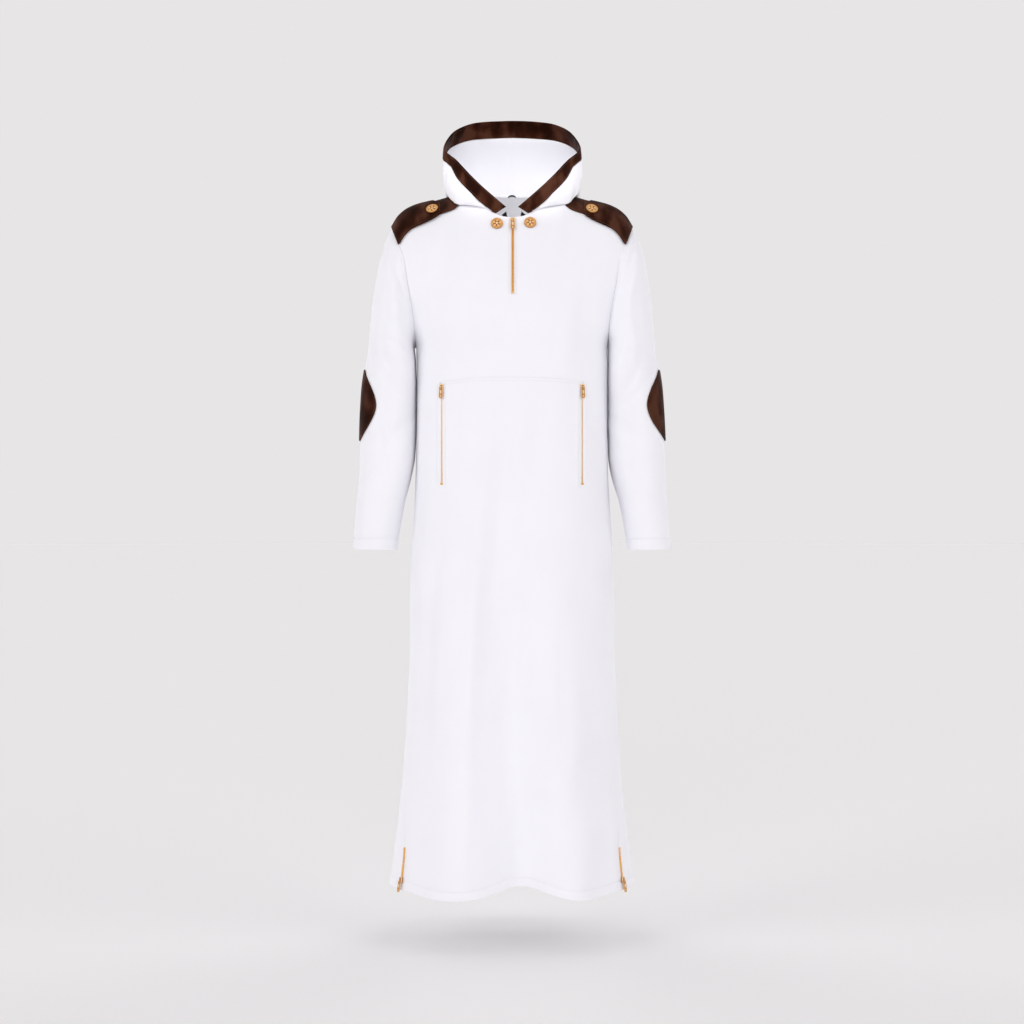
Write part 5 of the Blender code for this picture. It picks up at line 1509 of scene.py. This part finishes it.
def button(node, out):
    """A round button with a rosette in relief, on the place of its CAD node."""
    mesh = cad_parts[node].data
    places = np.array([v.co for v in mesh.vertices])
    up = np.array(out)
    base = (places @ up).min()
    middle = (places.min(0) + places.max(0)) / 2
    middle = middle + up * (base - middle @ up)
    side = np.array(out.orthogonal().normalized())
    other = np.cross(up, side)
    count = BUTTON_STEPS
    rings, painted_light = [], []
    for share, height, painted_level in reversed(BUTTON_FACE):
        ring = []
        for i in range(count):
            angle = 2 * math.pi * i / count
            # Painted light of the face: shade painted into its hollows, highlights painted on its petals and
            # beads.
            raised, highlight_level = height, painted_level
            if PETAL_SPAN[0] < share < PETAL_SPAN[1]:
                relief = petals(angle, (share - PETAL_SPAN[0]) / (PETAL_SPAN[1] - PETAL_SPAN[0]))
                raised += PETAL_HEIGHT * relief
                highlight_level += PETAL_HIGHLIGHT * relief
            if BEAD_SPAN[0] < share < BEAD_SPAN[1]:
                bead = max(0.0, math.cos(angle * BEADS)) ** 0.5
                raised += BEAD_HEIGHT * bead
                highlight_level += BEAD_HIGHLIGHT * bead
            if share > NOTCH_START and height > NOTCH_ABOVE:
                raised -= NOTCH_DEPTH * max(0.0, math.cos(angle * NOTCHES))
            way = side * math.cos(angle) + other * math.sin(angle)
            ring.append(middle + up * raised + way * BUTTON_R * share)
            painted_light.append(min(highlight_level, 1.0))
        rings.append(ring)
    vertices, faces = lofted(rings[:-1])
    top = len(vertices)
    faces = faces[:-1]
    vertices.append(rings[-1][0])
    for i in range(count):
        faces.append((top - count + i, top - count + (i + 1) % count, top))
    item = shown(node + "_face", vertices, faces, gold_with_painted_light)
    item.data.attributes.new("painted_light", "FLOAT", "POINT").data.foreach_set("value", painted_light[:top + 1])
    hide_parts(node)


def zip_set(label, seats_at, start, end, slider_seat, shift, wide_up, stop):
    """Tape, teeth, slider and tab of one zip, in the places of its CAD nodes."""
    low, high = sorted((start, end))
    count = int((high - low) / TOOTH_PITCH)
    parts = [tooth(seats_at(low + (high - low) * (k + 0.5) / count), 1 if k % 2 else -1)
             for k in range(count)]
    if stop:
        parts.append(strip([seats_at(end - STOP[0]), seats_at(end - STOP[1])], STOP[2],
                           CHAIN_LIFT, CHAIN_LIFT + CHAIN_HEIGHT))
    item = shown("teeth_" + label, *joined(parts), gold, smooth=False)
    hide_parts("zip_" + label)
    steps = int((high - low) / TAPE_STEP)
    seats = [seats_at(low + (high - low) * k / steps) for k in range(steps + 1)]
    shown("tape_" + label, *strip(seats, TAPE_HALF, CHAIN_LIFT - TAPE_THICK, CHAIN_LIFT + TAPE_RISE),
          tape_gold, smooth=False)
    parts, painted_light = slider(slider_seat, shift, wide_up)
    item = shown("slider_body_" + label, *joined(parts), gold_with_painted_light, sharp=METAL_SHARP)
    with_painted_light(item, parts, painted_light)
    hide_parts("slider_" + label)
    parts, painted_light = tab(slider_seat)
    item = shown("pull_tab_" + label, *joined(parts), gold_with_painted_light, body="tab_" + label + "_body",
                 sharp=METAL_SHARP)
    with_painted_light(item, parts, painted_light)
    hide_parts("tab_" + label)


def straight_zip(label, x, top, end):
    up = Vector((0, 0, 1))
    zip_set(label, lambda z: Seat(x, z, up), top - SLIDER_LENGTH - SLIDER_GAP, end,
            Seat(x, top - SLIDER_LENGTH / 2, up), 0.0, True, True)


def hem_seat(side, z):
    """A place on the hem's zip, which follows the side seam."""
    def seam_x(height):
        return body_point(math.radians(body_section(height)[3]), height).x
    x, x_below = seam_x(z), seam_x(z - SEAM_STEP)
    along = torso_point(-1, side * x, z) - torso_point(-1, side * x_below, z - SEAM_STEP)
    return Seat(side * x, z, along)


def hem_zip(label, side):
    zip_set(label, lambda z: hem_seat(side, z), HEM_ZIP_TOP, HEM_ZIP_END,
            hem_seat(side, HEM_ZIP_END - SLIDER_GAP - SLIDER_LENGTH / 2 - HEM_BRIDGE_SHIFT),
            HEM_BRIDGE_SHIFT, False, False)


# ------------------------------------------------------------------ body and sleeves
SIDES = (("left", 1), ("right", -1))
SEWING_LIFT = 0.0001
ABOVE_CLOTH = 0.02              # from where the finished front is looked for
POCKET_STITCHES = (-0.0008, 0.0052)   # distances of the two rows below the pocket's seam
WELT_STARTS = (0.004, 0.002, 0.002)   # how far below each slit's top its stitches begin
WELT_END = 0.006                # and end below its lower end
WELT_STEPS = 50
WELT_END_STEPS = 8
ARM_ROWS = [(0.0, 0.006), (0.06, 0.011), (0.955, 0.0022), (1.0, 0)]
ARM_TURN = 4.0                  # degrees between a sleeve's columns
PATCH_END = 0.995               # the patch's outline: share of its half length, powers, least half width
PATCH_POWERS = (1.9, 0.80)
PATCH_LEAST = 0.6
PATCH_STEPS = (61, 29)


def on_side(points, side):
    """A grid of the wearer's left, or the same on the right."""
    return points if side > 0 else mirror(points)


def front_reader(points):
    """Reads points on the finished front, with their normals."""
    height, width = points.shape[:2]
    quads = [(a, a + 1, a + 1 + width, a + width) for a in range(height * width - width) if (a + 1) % width]
    shape = BVHTree.FromPolygons(points.reshape(-1, 3).tolist(), quads)

    def on_front(x, z):
        out = front_normal(x, z)
        plain = torso_point(-1, x, z)
        place = shape.ray_cast(plain + out * ABOVE_CLOTH, -out)[0] or plain
        return np.array(place + out * SEWING_LIFT), np.array(out)
    return on_front


def front_lines(on_front):
    """Stitches of the pocket's seam with its bar tacks, and round the slits of the zips."""
    lines = [[on_front(x, z) for x, z in pocket_line(drop)] for drop in POCKET_STITCHES]
    for x in (POCKET_SEAM[0][0], POCKET_SEAM[-1][0]):
        z = float(np.interp(x, *zip(*pocket_line()))) + TACK_DROP
        for k in range(TACK_ROWS):
            place = x + (k - TACK_ROWS / 2) * TACK_STEP
            lines.append([on_front(place, z), on_front(place, z - TACK_LENGTH)])
    for (place, top, low), begin in zip(SLIT_ZIPS, WELT_STARTS):
        start, end = top - begin, low - WELT_END
        heights = [start + (end - start) * k / WELT_STEPS for k in range(WELT_STEPS + 1)]
        for hand in (-1, 1):
            lines.append([on_front(place + hand * WELT_PLACE, z) for z in heights])
        shares = [2 * k / WELT_END_STEPS - 1 for k in range(WELT_END_STEPS + 1)]
        lines.append([on_front(place + share * WELT_PLACE, end) for share in shares])
    return lines


def dress_panel(node, side):
    """The front or the back, with the stitches of its hem and the front's seams."""
    points = drawn_in(panel_net(side), first=-SEAM_TUCK, last=-SEAM_TUCK, top=-SEAM_TUCK)
    panel = cloth(node, points, CLOTH, 0.0, white)
    lines = [line_on(points, SEWING_LIFT, inset=HEM_DEPTH)]
    if side < 0:
        lines += front_lines(front_reader(points))
    sewing(node, lines, white_thread)


def dress_sleeve(label, side):
    """A sleeve with its turned cuff, stitched all round."""
    shares, angles = spaced(ARM_ROWS), np.radians(np.arange(0.0, 360.0, ARM_TURN))
    points = drawn_in(arm_net(side, shares[:, None], angles[None, :]), top=-SEAM_TUCK)
    points = points + normals_of(points, True) * hem_relief(points, CUFF_DEPTH)[..., None]
    points = on_side(points, side)
    sleeve = cloth("sleeve_" + label, points, CLOTH, 0.0, white, ring=True)
    around = line_on(points, SEWING_LIFT, inset=CUFF_DEPTH, ring=True)
    threads = sewing("sleeve_" + label, [around + around[:1]], white_thread)


def dress_patch(label, side):
    """The oval elbow patch, sewn along its long edges."""
    along = np.linspace(-PATCH_END, PATCH_END, PATCH_STEPS[0])
    wide = PATCH_HALF[1] * (1 - np.abs(along) ** PATCH_POWERS[0]) ** PATCH_POWERS[1]
    turn = np.linspace(-1, 1, PATCH_STEPS[1])[None, :] * np.maximum(wide, PATCH_LEAST)[:, None]
    angles = np.radians(PATCH_MIDDLE[1] + turn)
    shares = np.broadcast_to((PATCH_MIDDLE[0] + PATCH_HALF[0] * along)[:, None], angles.shape)
    points = on_side(arm_net(side, shares, angles, ring=False), side)
    patch = cloth("patch_" + label, points, STRAP, PATCH_LIFT, brown)
    lines = [side_line(points, PATCH_LIFT, EDGE_STITCH, end)[2:-2] for end in (0, -1)]
    sewing("patch_" + label, lines, brown_thread)


# ------------------------------------------------------------------ straps and epaulettes
NECK_COLUMNS = 6                # from the shoulder's inner end to the middle
STRAP_GRID = (56, 46)
EPAULETTE_GRID = (48, 34)


def column_place(column):
    """Place across the panel of one of its numbered columns."""
    neck = [NECK_X / SHOULDER_X * step / NECK_COLUMNS for step in range(NECK_COLUMNS, 0, -1)]
    places = SIDE_COLUMNS + neck
    return float(np.interp(column, range(len(places)), places))


def trim_grid(rows, ends, counts):
    """A grid over the shoulder from the armhole inwards, between its ends at each column."""
    columns = np.linspace(0, rows[-1][0], counts[0])
    across = np.array([column_place(column) for column in columns])
    down = np.array([np.linspace(*ends(column), counts[1]) for column in columns]).T
    return drawn_in(panel_trim(across[None, :], down), first=SEAM / 2)


def dress_shoulders():
    """The straps over the shoulders and the epaulettes on them, the right ones mirrored."""
    read_strap = table([(column, low / ARMHOLE_STEPS) for column, low in STRAP_EDGE])
    read_epaulette = table([(column, top / ARMHOLE_STEPS, low / ARMHOLE_STEPS)
                            for column, top, low in EPAULETTE_EDGE])
    back = -STRAP_BACK / ARMHOLE_STEPS
    strap = trim_grid(STRAP_EDGE, lambda column: (back, read_strap(column)[0]), STRAP_GRID)
    epaulette = trim_grid(EPAULETTE_EDGE, read_epaulette, EPAULETTE_GRID)
    for label, side in SIDES:
        for kind, grid, thick, lift in (("strap", strap, STRAP, STRAP_LIFT),
                                        ("epaulette", epaulette, EPAULETTE, EPAULETTE_LIFT)):
            node = kind + "_" + label
            points = on_side(grid, side)
            piece = cloth(node, points, thick, lift, brown)
            threads = sewing(node, border_lines(points, lift, EDGE_STITCH), brown_thread)


# ------------------------------------------------------------------ hood
HOOD_COLUMNS = [(HOOD_START, 0.010), (1.0, 0)]
HOOD_ROWS = 46
BAND_COLUMNS = [(0.0, 0.010), (HOOD_START, 0.008), (1.0, 0)]
BAND_ROWS = 16
BAND_RELIEF = 0.5               # the doubled border takes half of the hood's creases
BAND_ROUND = 0.7


def dress_hood(label, side):
    """Half of the hood's cloth, from the neck seam to the border."""
    points = hood_net(side, spaced(HOOD_COLUMNS),
                      lambda share: hood_start(share) - HOOD_TUCK / hood_profile(share)[1],
                      lambda share: band_start(share) - BAND_GAP / hood_profile(share)[1], HOOD_ROWS)
    points = on_side(drawn_in(points, first=SEAM, last=-SEAM_TUCK), side)
    cloth("hood_" + label, points, CLOTH, 0.0, white)


def dress_band():
    """The border round the hood's rim, one piece from neck to neck."""
    left, right = [hood_net(side, spaced(BAND_COLUMNS), band_start, lambda share: 1.0, BAND_ROWS,
                            relief=BAND_RELIEF) for side in (1, -1)]
    right = mirror(right)
    middle = (left[:, -1:] + right[:, :1]) / 2 * (0, 1, 1)
    points = np.concatenate([left[:, :-1], middle, right[:, 1:]], axis=1)
    swell = np.sin(np.linspace(0, math.pi, points.shape[0])) ** BAND_ROUND * BAND_SWELL
    points = points + normals_of(points) * swell[:, None, None]
    band = cloth("hood_band", points, BAND, BAND_LIFT, brown)
    threads = sewing("hood_band", border_lines(points, BAND_LIFT, BAND_STITCH), brown_thread)


# ------------------------------------------------------------------ buttons, zips and tapes
LOOP_STEPS = (9, 49)
LOOP_NARROW = 0.45              # share of the tape's width that is left at its ends
TAPE_STEPS = (25, 13)


def dress_fastenings():
    """Buttons and zips, on the places of their CAD nodes."""
    for label, x, z in FRONT_BUTTONS:
        button("button_front_" + label, front_normal(x, z))
    x, drop = EPAULETTE_BUTTON
    for label, side in SIDES:
        button("button_epaulette_" + label, front_normal(side * x, crest(-1, x) - drop))
    straight_zip("neck", *NECK_ZIP)
    for label, side in SIDES:
        straight_zip("pocket_" + label, side * POCKET_ZIP[0], *POCKET_ZIP[1:])
        hem_zip("hem_" + label, side)


def dress_loop():
    """The hanger loop behind the neck, narrower towards its ends."""
    angles = np.linspace(0.0, math.pi, LOOP_STEPS[1])
    rings = np.linspace(1.0, 0.0, LOOP_STEPS[0])[:, None]
    narrow = LOOP_NARROW + (1 - LOOP_NARROW) * np.sin(angles)
    rings = 0.5 + (rings - 0.5) * LOOP_SLIM * narrow
    wide = LOOP_HALF[0] + (LOOP_HALF[1] - LOOP_HALF[0]) * rings
    tall = LOOP_RISE[0] + (LOOP_RISE[1] - LOOP_RISE[0]) * rings
    points = np.stack(np.broadcast_arrays(wide * np.cos(angles), LOOP_Y[0] + 0 * rings,
                                          LOOP_BASE + tall * np.sin(angles)), axis=-1)
    cloth("hanger_loop", points, LOOP_Y[1] - LOOP_Y[0], 0.0, black, kind="_woven")


def dress_tape(label, side):
    """One end of the neck zip's tape, folded back under the hood."""
    down = np.linspace(0.0, 1.0, TAPE_STEPS[0])
    edges = [np.array([np.interp(down, np.linspace(0, 1, len(edge)), column) for column in zip(*edge)]).T
             for edge in (TAPE_OUTER, TAPE_INNER)]
    across = np.linspace(0, 1, TAPE_STEPS[1])[None, :, None]
    flat = edges[0][:, None] + (edges[1] - edges[0])[:, None] * across
    depth = torso_point(-1, TAPE_MIDDLE + side * TAPE_INNER[-1][0], TAPE_INNER[-1][1]).y + CLOTH + TRIM_GAP
    points = np.stack([TAPE_MIDDLE + side * flat[..., 0],
                       depth + TAPE_LEAN * (flat[..., 1] - TAPE_INNER[-1][1]), flat[..., 1]], axis=-1)
    points = points if side > 0 else points[:, ::-1]
    tape = cloth("neck_tape_" + label, points, TAPE_END, 0.0, black, kind="_woven")


dress_panel("front", -1)
dress_panel("back", 1)
for label, side in SIDES:
    dress_sleeve(label, side)
    dress_patch(label, side)
dress_shoulders()
for label, side in SIDES:
    dress_hood(label, side)
dress_band()
dress_fastenings()
dress_loop()
for label, side in SIDES:
    dress_tape(label, side)

# ------------------------------------------------------------------ floor, light and camera
FLOOR_Z = -1.460
FLOOR_HALF = 400.0
BACKDROP_RADIUS = 60.0    # near enough for any camera's far limit
BACKDROP_PARTS = (64, 32)
PAPER = (0.800, 0.786, 0.793)
WORLD = (0.430, 0.422, 0.426)
# Suns: azimuth, height, strength, softness.
SUNS = [("key", -56.0, 18.0, 0.82, 42.0), ("fill", 56.0, 16.0, 0.86, 55.0), ("front", -5.0, 6.0, 0.86, 34.0),
        ("rear_left", 145.0, 25.0, 0.80, 50.0), ("rear_right", -145.0, 25.0, 0.80, 50.0)]
# The light into the hood: place, target, strength, half width, blend, softness.
HOOD_SPOT = ((0.0, -2.36, 1.80), (0.0, 0.10, 0.044), 232.0, 0.168, 0.50, 0.05)
CAMERA_AWAY = 4.7
CAMERA_Z = -0.614
VIEW_HALF = 1.024               # half of the width that the picture shows at the camera's distance
CAMERA_CLIP = 1000.0


def staged(mesh, made):
    mesh.materials.append(made.material)
    item = bpy.data.objects.new(mesh.name, mesh)
    bpy.context.scene.collection.objects.link(item)
    return item


def stage_floor():
    """Pale matt paper, lit through a little from below."""
    made = Finish("floor_paper", (0.6200, 0.6100, 0.6150), 0.95)
    made.set("Specular IOR Level", 0.0)
    made.set("Emission Color", (0.280, 0.276, 0.278, 1.0))
    made.set("Emission Strength", 1.0)
    made.colours(made.noise(0.8, 2.0, 0.5), [(0.3, (0.6190, 0.6090, 0.6140)),
                                             (0.7, (0.6210, 0.6110, 0.6160))])
    mesh = bpy.data.meshes.new("floor")
    size = FLOOR_HALF
    mesh.from_pydata([(-size, -size, FLOOR_Z), (size, -size, FLOOR_Z), (size, size, FLOOR_Z),
                      (-size, size, FLOOR_Z)], [], [(0, 1, 2, 3)])
    staged(mesh, made)


def stage_backdrop():
    """The pale wall far behind, all round, which neither lights nor shades the cloth."""
    made = Finish("backdrop_paper", (0.0, 0.0, 0.0), 1.0)
    made.set("Specular IOR Level", 0.0)
    made.set("Emission Color", (*PAPER, 1.0))
    made.set("Emission Strength", 1.0)
    mesh = bpy.data.meshes.new("backdrop")
    shape = bmesh.new()
    bmesh.ops.create_uvsphere(shape, u_segments=BACKDROP_PARTS[0], v_segments=BACKDROP_PARTS[1],
                               radius=BACKDROP_RADIUS)
    shape.to_mesh(mesh)
    shape.free()
    item = staged(mesh, made)
    item.visible_diffuse = False
    item.visible_shadow = False


def lamp(name, kind, strength, toward):
    """A lamp that shines from the direction given."""
    light = bpy.data.lights.new(name, kind)
    light.energy = strength
    item = bpy.data.objects.new(name, light)
    item.rotation_euler = toward.to_track_quat("Z", "Y").to_euler()
    bpy.context.scene.collection.objects.link(item)
    return item


def sun(name, azimuth, height, strength, softness):
    """A broad soft light: azimuth from the front to the wearer's left, height, in degrees."""
    turn, up = math.radians(azimuth), math.radians(height)
    toward = Vector((math.sin(turn) * math.cos(up), -math.cos(turn) * math.cos(up), math.sin(up)))
    lamp(name, "SUN", strength, toward).data.angle = math.radians(softness)


def spot(name, place, target, strength, half_width, blend, softness):
    """A small soft light on one place: half the width of its pool, how much of it fades."""
    place, target = Vector(place), Vector(target)
    item = lamp(name, "SPOT", strength, place - target)
    item.location = place
    item.visible_camera = False
    item.data.spot_size = 2 * math.atan(half_width / (place - target).length)
    item.data.spot_blend = blend
    item.data.shadow_soft_size = softness


def place_camera():
    """The photograph's view: level, square to the front, the width of the picture at its distance."""
    camera = bpy.data.objects.new("camera", bpy.data.cameras.new("camera"))
    camera.location = (0.0, -CAMERA_AWAY, CAMERA_Z)
    camera.rotation_euler = (math.radians(90.0), 0.0, 0.0)
    camera.data.sensor_fit = "HORIZONTAL"
    camera.data.angle = 2 * math.atan(VIEW_HALF / CAMERA_AWAY)
    camera.data.clip_end = CAMERA_CLIP
    bpy.context.scene.collection.objects.link(camera)
    bpy.context.scene.camera = camera


def light_world():
    """A dim even light all round, and colours shown as they are."""
    world = bpy.data.worlds.new("studio")
    world.use_nodes = True
    world.node_tree.nodes["Background"].inputs["Color"].default_value = (*WORLD, 1.0)
    world.node_tree.nodes["Background"].inputs["Strength"].default_value = 1.0
    bpy.context.scene.world = world
    bpy.context.scene.view_settings.view_transform = "Standard"


stage_floor()
stage_backdrop()
for name, azimuth, height, strength, softness in SUNS:
    sun(name, azimuth, height, strength, softness)
spot("hood", *HOOD_SPOT)
light_world()
place_camera()
